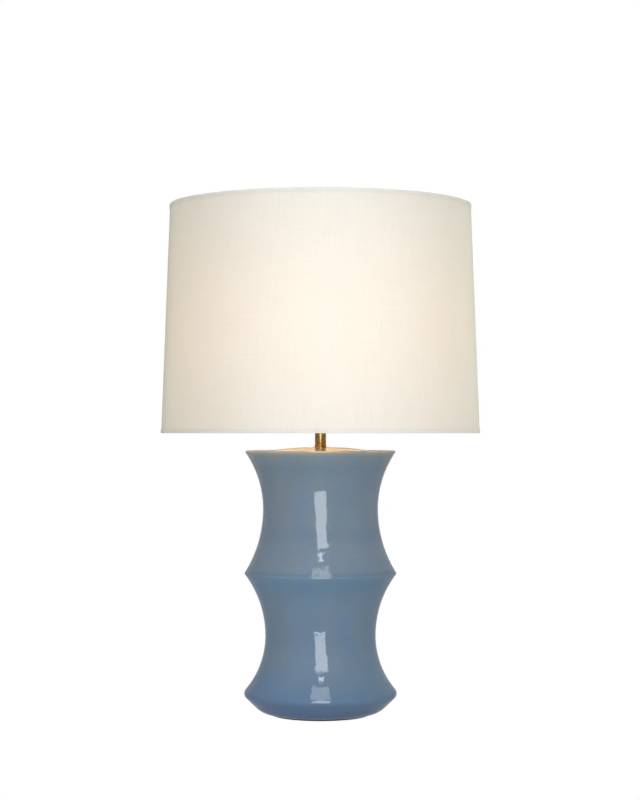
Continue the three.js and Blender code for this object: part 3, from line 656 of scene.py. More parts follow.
# %% The globe
glass_z, glass_top = (corner.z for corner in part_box("bulb_glass"))
globe_radius, glass_thick = 30, 1.0
globe_foot = -34  # the angle on the globe where its neck begins, in degrees
globe_z = (glass_top - glass_z) / MM - globe_radius
bulb_centre = glass_z + globe_z * MM


def globe(inset):
    """The globe's outline, from its neck to its crown, set in by how thick the glass is."""
    r = globe_radius - inset
    foot_angle = math.radians(globe_foot)
    waist = (r * math.cos(foot_angle), globe_z + r * math.sin(foot_angle))
    return [(11.9 - inset, 0), (11.9 - inset, 4),
            *s_curve((12.0 - inset, 7), (13.0 - inset, 18), (20.5 - inset, 26.5), waist, 12),
            *arc((0, globe_z), r, globe_foot, 90, 26)[1:]]


glass_wall = [*globe(0)[::-1], *globe(glass_thick)]
glass = turned_part("opal_globe", glass_wall, "bulb", "bulb_glass")

# %% [markdown]
# ## The shade
#
# The shade is a drum that tapers a little to the top. Linen is laminated to a sheet of white styrene,
# rolled into the cone, lapped at the back, and turned over a wire ring at each edge under a bound
# hem. Cloth held like this doesn't sag, so it is drawn and not simulated: the walls are spun, and
# the hems are a rounded channel that wraps cloth, liner and ring.

# %% Linen and liner
shade_z, shade_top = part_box("bottom_trim")[0].z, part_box("top_trim")[1].z
shade_low_r, shade_high_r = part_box("bottom_trim")[1].x, 192.2 * MM
shade_slope = (shade_high_r - shade_low_r) / (shade_top - shade_z)


def shade_radius(z):
    return shade_low_r + (z - shade_z) * shade_slope


def conical_wall(name, inset, thick, gap, steps=256, sweep=math.tau):
    """A thin wall parallel to the shade's outside, that far inside it."""
    low, high, rows = shade_z + gap, shade_top - gap, 10
    heights = [low + (high - low) * i / rows for i in range(rows + 1)]
    outer = [(shade_radius(z) - inset, z) for z in heights]
    inner = [(r - thick, z) for r, z in outer[::-1]]
    return spun(name, [*outer, *inner], closed=True, steps=steps, sweep=sweep)


linen = conical_wall("linen_cover", 0.6 * MM, 0.8 * MM, 0.6 * MM)
stands_for(linen, "shade", "shade_linen")
liner = conical_wall("styrene_liner", 1.6 * MM, 0.5 * MM, 0.6 * MM)
stands_for(liner, "shade", "shade_liner")


# %% Hems and rings
def hem(name, edge_z, up):
    """A channel of bound linen round the shade's edge, its legs pointing up or down."""
    across, leg, thick, turn = 5.5, 5.0, 0.4, 1.1
    quarter = [(turn - turn * math.cos(a), turn - turn * math.sin(a))
               for a in [QUARTER * i / 6 for i in range(7)]]
    outer = [(0, leg), (0, leg * 0.6), *quarter]
    inner = [(thick, leg), (thick, leg * 0.6), (thick, turn + 0.2), (turn, thick)]
    loop = [*outer, *[(across - x, z) for x, z in outer[::-1]],
            *[(across - x, z) for x, z in inner], *inner[::-1]]
    return spun(name, [(shade_radius(edge_z + up * z * MM) - x * MM, edge_z + up * z * MM)
                       for x, z in loop], closed=True, steps=256)


bottom_hem = hem("bottom_hem", shade_z, 1)
stands_for(bottom_hem, "shade", "bottom_trim")
top_hem = hem("top_hem", shade_top, -1)
stands_for(top_hem, "shade", "top_trim")

rings = []
for node_name in ("bottom_ring", "top_ring"):
    low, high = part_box(node_name)
    thick = (high.z - low.z) / 2
    rim = spun(f"{node_name}_wire", arc((high.x - thick, low.z + thick), thick, 0, 330, 11),
               closed=True, steps=192)
    stands_for(rim, "shade", node_name)
    rings.append(rim)

# %% [markdown]
# The lap is where the cloth's two ends meet, down the back. It is a narrow strip, a little prouder
# than the cloth around it.

# %% The lap at the back
lap_width = 12 * MM
lap_angle = lap_width / shade_low_r
lap = conical_wall("back_lap", 0.34 * MM, 0.26 * MM, 5.3 * MM, steps=8, sweep=lap_angle)
pick(lap)
bpy.ops.object.mode_set(mode="EDIT")
bpy.ops.mesh.select_all(action="SELECT")
bpy.ops.mesh.fill_holes(sides=0)
close_surface()
place(lap, turn=(0, 0, QUARTER - lap_angle / 2))
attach(lap, "shade")

# %% [markdown]
# Linen is a sheet of cloth. A cone rolls out to a sector of a ring: it is as wide as the longest
# edge with its lap, and as deep as the slant with what turns in.

# %% [markdown]
# ## Hub, arms and finial
#
# Three enamelled arms run from a stamped hub, straight and level, then rise to the top ring, so that
# the hub and the finial stay below the shade's rim. One bend serves all three arms, each turned a
# third further. The finial is a ball on a turned stem, over a washer.

# %% Hub and arms
hub_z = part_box("spider_hub")[0].z
dished = [(3.5, 0), (16.4, 0), (17, 0.3), (17, 1.2), (16.4, 1.9), (12, 1.9), (11, 1.5), (7.5, 1.5),
          (6.8, 1.9), (3.5, 1.9)]
hub = turned_part("stamped_hub", dished, "shade", "spider_hub", closed=True, edge=0.12 * MM)

arm_line = [(16.2, 0), (23, 0), (57.7, 0), (92.4, 0), (127.6, 0), (155, 0), (163, 0.3),
            (170.8, 4.2), (180.4, 16.6), (185.3, 21)]
arms = []
for count in range(3):
    arm = wire(f"shade_arm_{count + 1}", easy_path(from_mm(arm_line, hub_z + 0.9 * MM), 5),
               1.6 * MM, 8)
    place(arm, turn=(0, 0, math.radians(30 + 120 * count)))
    stands_for(arm, "shade", f"spider_arm_{count + 1}")
    arms.append(arm)

# %% Finial and its washer
flat_ring = [(3.2, 0), (8.2, 0), (8.5, 0.3), (8.5, 0.9), (8.2, 1.2), (3.2, 1.2)]
washer = turned_part("finial_seat_washer", flat_ring, "finial_seat", "finial_washer", closed=True,
                     edge=0.1 * MM)

turned = [(0, 13.6), (3.2, 13.4), (3.2, 6), (3.2, 0), (6.6, 0), (7, 0.4), (7, 1.6), (6.4, 2.4),
          (5.4, 3.0), (6.0, 3.8), (6.2, 4.6), (5.8, 5.5),
          *s_curve((5.0, 6.4), (4.2, 8.6), (4.2, 12), (4.8, 14.6), 8),
          (6.2, 15.2), (6.6, 15.8), (6.2, 16.5), *arc((0, 25.5), 9.45, -54, 90, 24)]
finial = turned_part("ball_finial", turned, "finial", "finial")

# %% [markdown]
# ## Shader tools
#
# A finish is built from a few effects that come back everywhere: soft mottling, fine grain, marks
# left by the lathe, and the weave of linen. Each is made once as a node group with named inputs and
# outputs, and placed in every material that needs it with its own values.

# %% Nodes, one at a time
def feed(tree, socket, value):
    """Links another node's output to a socket, or sets the socket to a plain value."""
    if isinstance(value, bpy.types.NodeSocket):
        tree.links.new(value, socket)
    elif isinstance(value, tuple) and socket.type == "RGBA" and len(value) == 3:
        socket.default_value = (*value, 1)
    else:
        socket.default_value = value


def add_node(tree, kind, feeds=None, **settings):
    """Adds a node, its settings and what feeds its inputs."""
    made = tree.nodes.new(kind)
    for key, value in settings.items():
        setattr(made, key, value)
    for key, value in (feeds or {}).items():
        feed(tree, made.inputs[key], value)
    return made


def calc(tree, operation, *values):
    """A Math node's result."""
    return add_node(tree, "ShaderNodeMath", dict(enumerate(values)), operation=operation).outputs[0]


def mixed(tree, factor, one, two, blend="MIX"):
    """A Mix node's colour."""
    made = add_node(tree, "ShaderNodeMix", data_type="RGBA", blend_type=blend)
    for index, value in ((0, factor), (6, one), (7, two)):
        feed(tree, made.inputs[index], value)
    return made.outputs[2]


def tinted(tree, one, two):
    """Two colours, or a colour and a tone, multiplied."""
    return mixed(tree, 1.0, one, two, "MULTIPLY")


def parts_of(tree, vector):
    """The x, y and z of a vector."""
    return add_node(tree, "ShaderNodeSeparateXYZ", {0: vector}).outputs


def square_sum(tree, one, two):
    """The sum of two squares."""
    return calc(tree, "ADD", calc(tree, "MULTIPLY", one, one), calc(tree, "MULTIPLY", two, two))


def between_0_and_1(tree, value):
    return calc(tree, "MINIMUM", calc(tree, "MAXIMUM", value, 0.0), 1.0)


def noise(tree, vector, scale, detail=2.0, roughness=0.5):
    """A Noise texture's value, which swings about a half."""
    return add_node(tree, "ShaderNodeTexNoise", {
        "Vector": vector, "Scale": scale, "Detail": detail, "Roughness": roughness}).outputs["Fac"]


def ramp(tree, factor, stops):
    """A Color Ramp's colour, from (position, (r, g, b)) stops."""
    made = add_node(tree, "ShaderNodeValToRGB", {"Fac": factor})
    elements = made.color_ramp.elements
    elements[0].position, elements[0].color = stops[0][0], (*stops[0][1], 1)
    elements[1].position, elements[1].color = stops[-1][0], (*stops[-1][1], 1)
    for position, colour in stops[1:-1]:
        elements.new(position).color = (*colour, 1)
    return made.outputs["Color"]


def use_group(tree, group, **feeds):
    """Places a group in a material and returns its outputs."""
    made = add_node(tree, "ShaderNodeGroup", node_tree=group)
    for label, value in feeds.items():
        feed(tree, made.inputs[label], value)
    return made.outputs


def new_group(name, inputs, outputs):
    """An empty shader node group. inputs are (name, kind, value) and outputs (name, kind)."""
    group = bpy.data.node_groups.new(name, "ShaderNodeTree")
    sockets = group.interface
    for label, kind, value in inputs:
        socket = sockets.new_socket(label, in_out="INPUT", socket_type=f"NodeSocket{kind}")
        if value is not None:
            socket.default_value = value
    for label, kind in outputs:
        sockets.new_socket(label, in_out="OUTPUT", socket_type=f"NodeSocket{kind}")
    given = group.nodes.new("NodeGroupInput").outputs
    return group, given, group.nodes.new("NodeGroupOutput").inputs


# %% Mottling
mottle, given, result = new_group(
    "mottling", [("Vector", "Vector", None), ("Scale", "Float", 20.0), ("Depth", "Float", 0.1)],
    [("Tone", "Float"), ("Mask", "Float")])
broad = noise(mottle, given["Vector"], given["Scale"], 3.0, 0.55)
swing = calc(mottle, "SUBTRACT", broad, 0.5)
mottle.links.new(calc(mottle, "ADD", 1.0, calc(mottle, "MULTIPLY", swing, given["Depth"])),
                 result["Tone"])
spread = calc(mottle, "MULTIPLY_ADD", swing, 3.0, 0.5)
mottle.links.new(between_0_and_1(mottle, spread), result["Mask"])

# %% Marks of the lathe
lathe, given, result = new_group(
    "lathe_marks", [("Vector", "Vector", None), ("Fineness", "Float", 1400.0)],
    [("Height", "Float"), ("Mask", "Float")])
parts = parts_of(lathe, given["Vector"])
radius_out = calc(lathe, "SQRT", square_sum(lathe, parts[0], parts[1]))
stretch = 0.0004  # far less than a radius, so that the marks run round the piece
round_way = calc(lathe, "MULTIPLY", calc(lathe, "ARCTAN2", parts[1], parts[0]), stretch)
ring_place = add_node(lathe, "ShaderNodeCombineXYZ", {0: radius_out, 1: round_way, 2: parts[2]})
lines = noise(lathe, ring_place.outputs[0], given["Fineness"])
lathe.links.new(lines, result["Height"])
spread = calc(lathe, "MULTIPLY_ADD", lines, 3.0, -1.0)
lathe.links.new(between_0_and_1(lathe, spread), result["Mask"])

# %% [markdown]
# ## A weave in thread coordinates
#
# A pattern on cloth has to follow its threads. On a cone the threads run round it and up it, so the
# angle times the mean radius, and the height, are the thread coordinates. Two sets of ridges cross
# each other, and long thin noise along each direction gives linen its slubs.

# %% The weave
weave, given, result = new_group(
    "linen_weave",
    [("Vector", "Vector", None), ("Radius", "Float", 0.2), ("Pitch", "Float", 0.00062)],
    [("Height", "Float"), ("Thread", "Float"), ("Slub", "Float")])
thread_drift = 0.0012  # how far a thread may wander from its line
slub_fast, slub_slow = 900.0, 28.0
parts = parts_of(weave, given["Vector"])
angle = calc(weave, "ARCTAN2", calc(weave, "MULTIPLY", parts[0], -1.0),
             calc(weave, "MULTIPLY", parts[1], -1.0))
around = calc(weave, "MULTIPLY", angle, given["Radius"])
cloth_place = add_node(weave, "ShaderNodeCombineXYZ", {0: around, 1: parts[2]}).outputs[0]
drift = calc(weave, "SUBTRACT", noise(weave, cloth_place, 60.0), 0.5)
wander = calc(weave, "MULTIPLY", drift, thread_drift)


def ridges(along, offset):
    """Rounded ridges across one direction, a thread apart."""
    turns = calc(weave, "DIVIDE", calc(weave, "ADD", along, wander), given["Pitch"])
    return calc(weave, "ABSOLUTE", calc(weave, "SINE", calc(
        weave, "MULTIPLY_ADD", turns, math.pi, offset)))


def slubs(fast, slow, seed):
    """Long thin noise: quick across the threads and slow along them."""
    where = add_node(weave, "ShaderNodeCombineXYZ", {
        0: calc(weave, "MULTIPLY", fast, slub_fast), 1: calc(weave, "MULTIPLY", slow, slub_slow),
        2: seed})
    return noise(weave, where.outputs[0], 1.0, 3.0, 0.6)


crossing = calc(weave, "MULTIPLY", ridges(around, 0.0), ridges(parts[2], 0.6))
slub = calc(weave, "MULTIPLY", calc(weave, "ADD", slubs(parts[2], around, 3.1),
                                    slubs(around, parts[2], 8.4)), 0.5)
weave.links.new(calc(weave, "MULTIPLY_ADD", crossing, 0.6, slub), result["Height"])
weave.links.new(crossing, result["Thread"])
weave.links.new(slub, result["Slub"])
print("groups:", ", ".join(group.name for group in bpy.data.node_groups))


# %% [markdown]
# ## The glaze
#
# The glaze is a glossy blue-grey over pale clay, and its colour changes with height on the body.
# Part of that is painted light. The lip is pale, partly thin glaze and partly painted light, and a
# darker line runs over the ridge. Above the ridge the glaze is painted greyer, as a painted
# reflection of the shade and its warm light, and near the top it is painted greyer too. Below the
# ridge it is bluer, and the undercut is painted darkest, as painted shade. Soft bands cross both
# sections, and the dome inside the lip is painted warm and pale: painted light from the bulb. Height
# on the body drives all that. The right side is painted a little darker than the left: painted shade.
# Soft mottling breaks it up, and a faint waviness keeps long highlights from looking like plastic.

# %% Start a material
def new_material(name, **constants):
    """A material with its shader. Values that don't vary are set on the shader's own sockets."""
    material = bpy.data.materials.new(name)
    material.use_nodes = True
    shader = material.node_tree.nodes["Principled BSDF"]
    for label, value in constants.items():
        shader.inputs[label.replace("_", " ")].default_value = value
    where = add_node(material.node_tree, "ShaderNodeTexCoord").outputs["Object"]
    return material, material.node_tree, shader, where


def drive(tree, shader, **values):
    """Links what varies over the surface to the shader's sockets."""
    for label, value in values.items():
        tree.links.new(value, shader.inputs[label.replace("_", " ")])


def bump(tree, shader, height, strength, distance):
    """A Bump node on the shader's normal."""
    made = add_node(tree, "ShaderNodeBump", {
        "Height": height, "Strength": strength, "Distance": distance})
    drive(tree, shader, Normal=made.outputs["Normal"])


def dress(piece, material):
    """The piece wears only this material."""
    if not piece.material_slots:
        piece.data.materials.append(material)
    for material_slot in piece.material_slots:
        material_slot.material = material


def dress_all(material, *pieces):
    """Each of the pieces wears the material."""
    for piece in pieces:
        dress(piece, material)
    print(material.name, "on", ", ".join(piece.name for piece in pieces))


# %% Glaze
glaze, tree, shader, where = new_material("blue_grey_glaze", IOR=1.57)
across, _, level = parts_of(tree, where)
body_height = body_top - foot_z
share = calc(tree, "DIVIDE", calc(tree, "SUBTRACT", level, foot_z), body_height)


def share_at(height):
    """How far up the body a height is, from 0 to 1."""
    return (height - foot_z) / body_height


ridge_share, lip_share = share_at(ridge[1]), share_at(lip_corner[1])
# Painted light in these stops: the paler, greyer band above the ridge and near the top is a painted
# reflection and the warm light of the shade. The darkest blue at the foot is painted shade in the
# undercut. The pale lip is partly painted light, and the warm tan from the lip inward is painted
# light from the bulb.
glaze_and_painted_light = ramp(tree, share, [
    (0.0, (0.100, 0.176, 0.305)),
    (0.075, (0.116, 0.196, 0.310)),
    (0.14, (0.142, 0.218, 0.304)),
    (share_at(76 * MM), (0.160, 0.228, 0.304)),
    (share_at(98 * MM), (0.146, 0.214, 0.294)),
    (share_at(116 * MM), (0.149, 0.219, 0.296)),
    (share_at(136 * MM), (0.156, 0.226, 0.302)),
    (ridge_share - 0.03, (0.132, 0.215, 0.297)),
    (ridge_share - 0.004, (0.150, 0.236, 0.318)),
    (ridge_share + 0.003, (0.150, 0.232, 0.312)),
    (ridge_share + 0.009, (0.132, 0.203, 0.276)),
    (ridge_share + 0.020, (0.174, 0.240, 0.308)),
    (share_at(206 * MM), (0.180, 0.243, 0.308)),
    (share_at(219 * MM), (0.172, 0.234, 0.298)),
    (share_at(230 * MM), (0.149, 0.215, 0.286)),
    (share_at(243 * MM), (0.160, 0.222, 0.286)),
    (share_at(290 * MM), (0.162, 0.223, 0.286)),
    (share_at(314 * MM), (0.150, 0.216, 0.282)),
    (lip_share - 0.02, (0.194, 0.258, 0.296)),
    (lip_share - 0.004, (0.37, 0.37, 0.31)),
    (lip_share + 0.004, (0.265, 0.235, 0.140)),
    (1.0, (0.20, 0.172, 0.098)),
])
soft = use_group(tree, mottle, Vector=where, Scale=22.0, Depth=0.17)
small = use_group(tree, mottle, Vector=where, Scale=300.0, Depth=0.10)
washes = add_node(tree, "ShaderNodeMapping", {"Vector": where, "Scale": (1.0, 1.0, 0.35)})
wash = use_group(tree, mottle, Vector=washes.outputs[0], Scale=34.0, Depth=0.1)
hue = mixed(tree, wash["Mask"], (0.95, 0.99, 1.05), (1.06, 1.02, 0.94))
washed = tinted(tree, glaze_and_painted_light, hue)
# Painted shade: the glaze is painted up to 6 % darker towards the right (+X) and lighter towards the
# left, because light falls less on the right.
to_one_side = calc(tree, "TANH", calc(tree, "MULTIPLY", across, 30.0))
thickness = calc(tree, "MULTIPLY_ADD", to_one_side, -0.06, 0.95)
tones = calc(tree, "MULTIPLY", calc(tree, "MULTIPLY", soft["Tone"], small["Tone"]), thickness)
speck = calc(tree, "GREATER_THAN", noise(tree, where, 700.0, 1.0), 0.735)
specked = mixed(tree, calc(tree, "MULTIPLY", speck, 0.3), tinted(tree, washed, tones),
                (0.09, 0.10, 0.11))
drive(tree, shader, Base_Color=specked,
      Roughness=calc(tree, "MULTIPLY_ADD", soft["Mask"], 0.03, 0.035))
ripple, quick_ripple = noise(tree, where, 30.0, 1.0), noise(tree, where, 150.0, 1.0)
bump(tree, shader, calc(tree, "MULTIPLY_ADD", quick_ripple, 0.24, ripple), 1.0, 0.0008)
dress_all(glaze, body)


# %% [markdown]
# ## Linen that glows
#
# The shade is lit by its own bulb, so the cloth gives off light: most where the bulb is nearest, less
# towards the hems. That glow is worked out from the distance to the bulb, nearly as real light falls
# off, and the threads let it through or hold it back. The hems are several layers, and glow less.

# %% Linen and bound hems
glow_centre = bulb_centre - 15 * MM  # the height where the cloth is brightest
glow_reach, glow_power = 0.198, 1.9  # at this distance the glow has its given strength
glow_colour = (1.0, 0.575, 0.30)


def linen_finish(name, colour, glow, pitch):
    """A woven cloth with light coming through it. glow is how bright it is at glow_reach."""
    material, tree, shader, where = new_material(
        name, Sheen_Weight=1.0, Sheen_Roughness=0.5, Sheen_Tint=(1.0, 1.0, 0.8, 1), IOR=1.4,
        Emission_Strength=1.0)
    mean_radius = (shade_low_r + shade_high_r) / 2
    cloth = use_group(tree, weave, Vector=where, Radius=mean_radius, Pitch=pitch)
    stain = use_group(tree, mottle, Vector=where, Scale=9.0, Depth=0.05)
    slub_tone = calc(tree, "MULTIPLY_ADD", cloth["Slub"], 0.20, 0.90)
    thread_tone = calc(tree, "MULTIPLY_ADD", cloth["Thread"], 0.06, 0.97)
    weight = calc(tree, "MULTIPLY", calc(tree, "MULTIPLY", stain["Tone"], slub_tone), thread_tone)
    parts = parts_of(tree, where)
    rise = calc(tree, "SUBTRACT", parts[2], glow_centre)
    flat_square = square_sum(tree, parts[0], parts[1])
    distance = calc(tree, "SQRT", calc(tree, "MULTIPLY_ADD", rise, rise, flat_square))
    falloff = calc(tree, "POWER", calc(tree, "DIVIDE", glow_reach, distance), glow_power)
    through = calc(tree, "MULTIPLY", falloff, calc(tree, "MULTIPLY", weight, glow))
    drive(tree, shader, Base_Color=tinted(tree, colour, weight),
          Roughness=calc(tree, "MULTIPLY_ADD", cloth["Slub"], 0.2, 0.75),
          Emission_Color=tinted(tree, glow_colour, through))
    bump(tree, shader, cloth["Height"], 0.5, 0.0002)
    return material


linen_cloth = linen_finish("white_linen", (0.564, 0.576, 0.522), 0.35, 0.00062)
hem_cloth = linen_finish("bound_linen", (0.60, 0.60, 0.55), 0.20, 0.0005)
dress_all(linen_cloth, linen, lap)
dress_all(hem_cloth, bottom_hem, top_hem)


# %% [markdown]
# ## Brass, three ways
#
# The neck and finial are a dark, polished brass with a trace of lacquer, the lampholder is satin, and
# the small fittings are plain. All are one recipe, each with its own colours: a base colour that
# darkens in patches as brass does, and lathe marks in the roughness and bump.

# %% Brass
def brass_finish(name, bright, dull, rough, patches, marks, coat=0.0):
    """Brass with duller patches and the marks of turning."""
    material, tree, shader, where = new_material(
        name, Metallic=1.0, Coat_Weight=coat, Coat_Roughness=0.08,
        Specular_Tint=(0.75, 0.55, 0.30, 1))
    patch = use_group(tree, mottle, Vector=where, Scale=patches, Depth=0.2)
    fine = use_group(tree, mottle, Vector=where, Scale=patches * 14, Depth=0.1)
    turned_marks = use_group(tree, lathe, Vector=where, Fineness=3000.0)
    colour = mixed(tree, calc(tree, "MULTIPLY", patch["Mask"], 0.55), bright, dull)
    patch_rough = calc(tree, "MULTIPLY_ADD", patch["Mask"], 0.08, rough)
    drive(tree, shader, Base_Color=tinted(tree, colour, fine["Tone"]),
          Roughness=calc(tree, "MULTIPLY_ADD", turned_marks["Mask"], 0.07, patch_rough))
    bump(tree, shader, turned_marks["Height"], marks, 0.00006)
    return material


neck_brass = brass_finish("antique_brass", (0.44, 0.28, 0.092), (0.31, 0.18, 0.055), 0.17, 60.0,
                          0.06, 0.05)
fitting_brass = brass_finish("plain_brass", (0.66, 0.50, 0.26), (0.50, 0.35, 0.16), 0.26, 120.0,
                             0.3)
holder_brass = brass_finish("satin_brass", (0.68, 0.52, 0.28), (0.56, 0.40, 0.19), 0.32, 80.0, 0.5)
dress_all(neck_brass, collar, tube, finial)
dress_all(fitting_brass, saddle, harp, swivel, stem, hub, washer, *sleeves,
          nodes["centre_contact"], nodes["terminal_screw_live"])
dress_all(holder_brass, holder_cap, holder_shell)


# %% [markdown]
# ## The other finishes
#
# The rest are simple mixtures: two near colours, a scale of mottling, a range of roughness and a
# little relief. One function makes them all, and each call reads as a recipe.

# %% Plain finishes
def plain_finish(name, one, two, rough, scale, relief=0.2, depth=0.00005, **constants):
    """Two colours mottled together, with roughness from rough[0] to rough[1]."""
    material, tree, shader, where = new_material(name, **constants)
    patch = use_group(tree, mottle, Vector=where, Scale=scale, Depth=0.12)
    fine = use_group(tree, mottle, Vector=where, Scale=scale * 9, Depth=0.12)
    colour = mixed(tree, patch["Mask"], one, two)
    drive(tree, shader, Base_Color=tinted(tree, colour, fine["Tone"]),
          Roughness=calc(tree, "MULTIPLY_ADD", fine["Mask"], rough[1] - rough[0], rough[0]))
    bump(tree, shader, fine["Mask"], relief, depth)
    return material


zinc = plain_finish("zinc_plated_steel", (0.55, 0.56, 0.56), (0.47, 0.48, 0.49), (0.22, 0.42), 300.0,
                    Metallic=1.0)
felt_cloth = plain_finish("green_felt", (0.030, 0.052, 0.040), (0.050, 0.075, 0.058), (0.85, 1.0),
                          700.0, 0.8, 0.0003, Sheen_Weight=0.6, Sheen_Roughness=0.6)
rubber = plain_finish("black_rubber", (0.018, 0.018, 0.019), (0.030, 0.030, 0.031), (0.5, 0.7),
                      400.0, 0.3)
card = plain_finish("vulcan_fibre", (0.30, 0.17, 0.09), (0.37, 0.23, 0.13), (0.6, 0.8), 250.0)
phenolic = plain_finish("black_phenolic", (0.020, 0.016, 0.014), (0.034, 0.027, 0.023), (0.22, 0.34),
                        160.0, 0.04, 0.00004)
aluminium = plain_finish("rolled_aluminium", (0.72, 0.72, 0.71), (0.62, 0.62, 0.62), (0.26, 0.42),
                         220.0, Metallic=1.0)
sheath = plain_finish("brown_sheath", (0.10, 0.065, 0.035), (0.13, 0.09, 0.05), (0.4, 0.55), 200.0)
dark_cover = plain_finish("brown_insulation", (0.045, 0.028, 0.018), (0.06, 0.04, 0.026),
                          (0.4, 0.5), 300.0)
pale_cover = plain_finish("white_insulation", (0.66, 0.65, 0.61), (0.58, 0.57, 0.53), (0.4, 0.5),
                          300.0)
black_glass = plain_finish("black_glass", (0.012, 0.012, 0.016), (0.02, 0.02, 0.026), (0.05, 0.12),
                           150.0, 0.1, 0.00003)
tungsten = plain_finish("tungsten", (0.35, 0.33, 0.30), (0.28, 0.26, 0.24), (0.3, 0.4), 600.0,
                        Metallic=1.0)
styrene = plain_finish("white_styrene", (0.80, 0.79, 0.76), (0.74, 0.73, 0.70), (0.32, 0.44), 40.0,
                       0.1, 0.0001)
enamel = plain_finish("white_enamel", (0.74, 0.73, 0.70), (0.67, 0.66, 0.63), (0.22, 0.36), 180.0,
                      0.3, 0.00006)
clear_glass = plain_finish("clear_glass", (0.9, 0.92, 0.91), (0.82, 0.85, 0.84), (0.03, 0.07), 120.0,
                           0.05, 0.00003, Transmission_Weight=1.0, IOR=1.5)
dress_all(felt_cloth, felt)
dress_all(rubber, bush)
dress_all(card, fibre)
dress_all(black_glass, insulator)
dress_all(phenolic, knob, nodes["socket_core"])
dress_all(aluminium, screw, tip, bulb_cap)
dress_all(styrene, liner)
dress_all(enamel, *rings, *arms)
dress_all(sheath, nodes["inner_lead"])
dress_all(dark_cover, nodes["live_wire"])
dress_all(pale_cover, nodes["neutral_wire"])
dress_all(clear_glass, nodes["bulb_stem"])
dress_all(tungsten, nodes["bulb_filament"])
dress_all(zinc, nodes["threaded_rod"], nodes["base_washer"], nodes["base_nut"],
          nodes["terminal_screw_neutral"])

# %% [markdown]
# ## The opal globe
#
# The bulb is lit. Opal glass spreads the light of its filament, so the globe is brightest round its
# belly and dimmer down the neck. Emission on the glass does that, and it also lights the liner, the
# harp and the top of the glaze, as the real bulb does.

# %% Lit opal glass
opal, tree, shader, where = new_material("lit_opal_glass", Emission_Strength=54.0, IOR=1.5)
level = parts_of(tree, where)[2]
up_globe = calc(tree, "DIVIDE", calc(tree, "SUBTRACT", level, glass_z), glass_top - glass_z)
cloud = use_group(tree, mottle, Vector=where, Scale=35.0, Depth=0.12)
light_colour = ramp(tree, up_globe, [
    (0.0, (0.10, 0.05, 0.02)), (0.22, (0.45, 0.235, 0.09)), (0.5, (1.0, 0.56, 0.25)),
    (0.8, (1.0, 0.56, 0.25)), (1.0, (0.72, 0.40, 0.175))])
drive(tree, shader, Emission_Color=tinted(tree, light_colour, cloud["Tone"]),
      Base_Color=mixed(tree, cloud["Mask"], (0.86, 0.85, 0.82), (0.80, 0.79, 0.76)),
      Roughness=calc(tree, "MULTIPLY_ADD", cloud["Mask"], 0.1, 0.2))
dress_all(opal, glass)

# %% [markdown]
# ## The studio
#
# The lamp stands on a pale floor in an even, dim room. One tall softbox in front draws the narrow
# highlight down the glaze, and three cards high in front draw the short ones where the body flares
# out. Two soft fills lift the back and the right side. None of the lights shows itself to the
# camera, which sees the floor and the room as plain white.

# %% Floor
bpy.ops.object.select_all(action="DESELECT")
floor_size, floor_gap = 30, 0.05 * MM
bpy.ops.mesh.primitive_plane_add(size=floor_size, location=(0, 0, -floor_gap))
floor = bpy.context.active_object
floor.name = "floor"
floor.visible_glossy = False
paper, tree, shader, where = new_material("pale_floor", Roughness=0.9)
grain = use_group(tree, mottle, Vector=where, Scale=3.0, Depth=0.01)
drive(tree, shader, Base_Color=tinted(tree, (0.80, 0.80, 0.80), grain["Tone"]))
white = add_node(tree, "ShaderNodeEmission", {"Color": (1, 1, 1, 1), "Strength": 1.0})
clear = add_node(tree, "ShaderNodeBsdfTransparent")
path = add_node(tree, "ShaderNodeLightPath")
behind = add_node(tree, "ShaderNodeNewGeometry")
seen = add_node(tree, "ShaderNodeMixShader", {0: path.outputs["Is Camera Ray"],
                                              1: shader.outputs[0], 2: white.outputs[0]})
both_sides = add_node(tree, "ShaderNodeMixShader", {0: behind.outputs["Backfacing"],
                                                    1: seen.outputs[0], 2: clear.outputs[0]})
tree.links.new(both_sides.outputs[0], tree.nodes["Material Output"].inputs["Surface"])
dress_all(paper, floor)

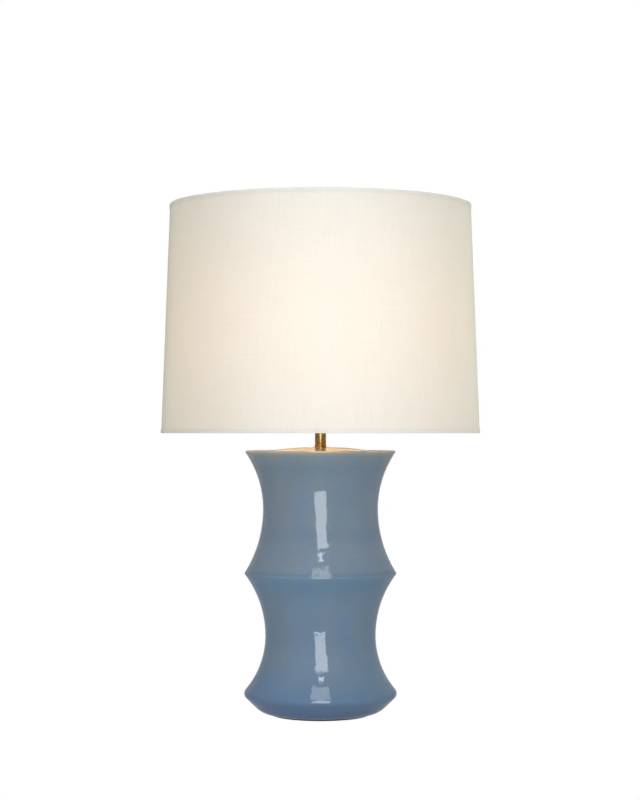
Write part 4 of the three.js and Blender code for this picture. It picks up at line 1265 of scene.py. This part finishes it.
# %% Room and lights
world = bpy.data.worlds.new("studio")
bpy.context.scene.world = world
world.use_nodes = True
tree = world.node_tree
tree.nodes.clear()
view_ray = add_node(tree, "ShaderNodeLightPath").outputs["Is Camera Ray"]
room_colour = (0.376, 0.40, 0.428, 1)
room = add_node(tree, "ShaderNodeBackground", {"Color": room_colour})
bright = add_node(tree, "ShaderNodeBackground", {"Color": (1, 1, 1, 1)})
sky = add_node(tree, "ShaderNodeMixShader", {0: view_ray, 1: room.outputs[0], 2: bright.outputs[0]})
tree.links.new(sky.outputs[0], add_node(tree, "ShaderNodeOutputWorld").inputs["Surface"])
cool_white = (0.94, 1.0, 1.07)


def softbox(name, at, size, radiance, aim):
    """A rectangular light of that radiance, turned towards a point."""
    bpy.ops.object.select_all(action="DESELECT")
    bpy.ops.object.light_add(type="AREA", location=at)
    lamp = bpy.context.active_object
    lamp.name = name
    lamp.data.shape = "RECTANGLE"
    lamp.data.size, lamp.data.size_y = size
    lamp.data.energy = radiance * math.pi * size[0] * size[1]
    lamp.rotation_euler = (Vector(aim) - Vector(at)).to_track_quat("-Z", "Y").to_euler()
    lamp.data.color = cool_white
    lamp.visible_camera = False
    return lamp


key_x, key_height = 0.017, 0.335
tall = softbox("tall_softbox", (key_x, -1.07, key_height), (0.42, 0.97), 5.2,
               (key_x, 0, key_height))
tall.rotation_euler.rotate_axis("Z", math.radians(-4.5))
softbox("high_card", (0.0, -0.81, 1.15), (0.50, 0.15), 2.4, (0, -0.09, 0.19))
softbox("top_card", (0.0, -0.525, 1.19), (0.46, 0.41), 2.4, (0, -0.097, 0.05))
softbox("small_card", (0.0, -1.0, 0.95), (0.15, 0.14), 7.0, (0, -0.08, 0.22))
for fill in (softbox("back_fill", (0.9, 2.2, 1.1), (1.6, 1.6), 2.2, (0, 0, 0.3)),
             softbox("side_fill", (2.0, -0.3, 0.6), (1.0, 1.4), 0.9, (0, 0, 0.4))):
    fill.visible_glossy = False

bpy.context.scene.view_settings.view_transform = "Standard"
bpy.context.scene.view_settings.look = "None"
print("the studio is lit")
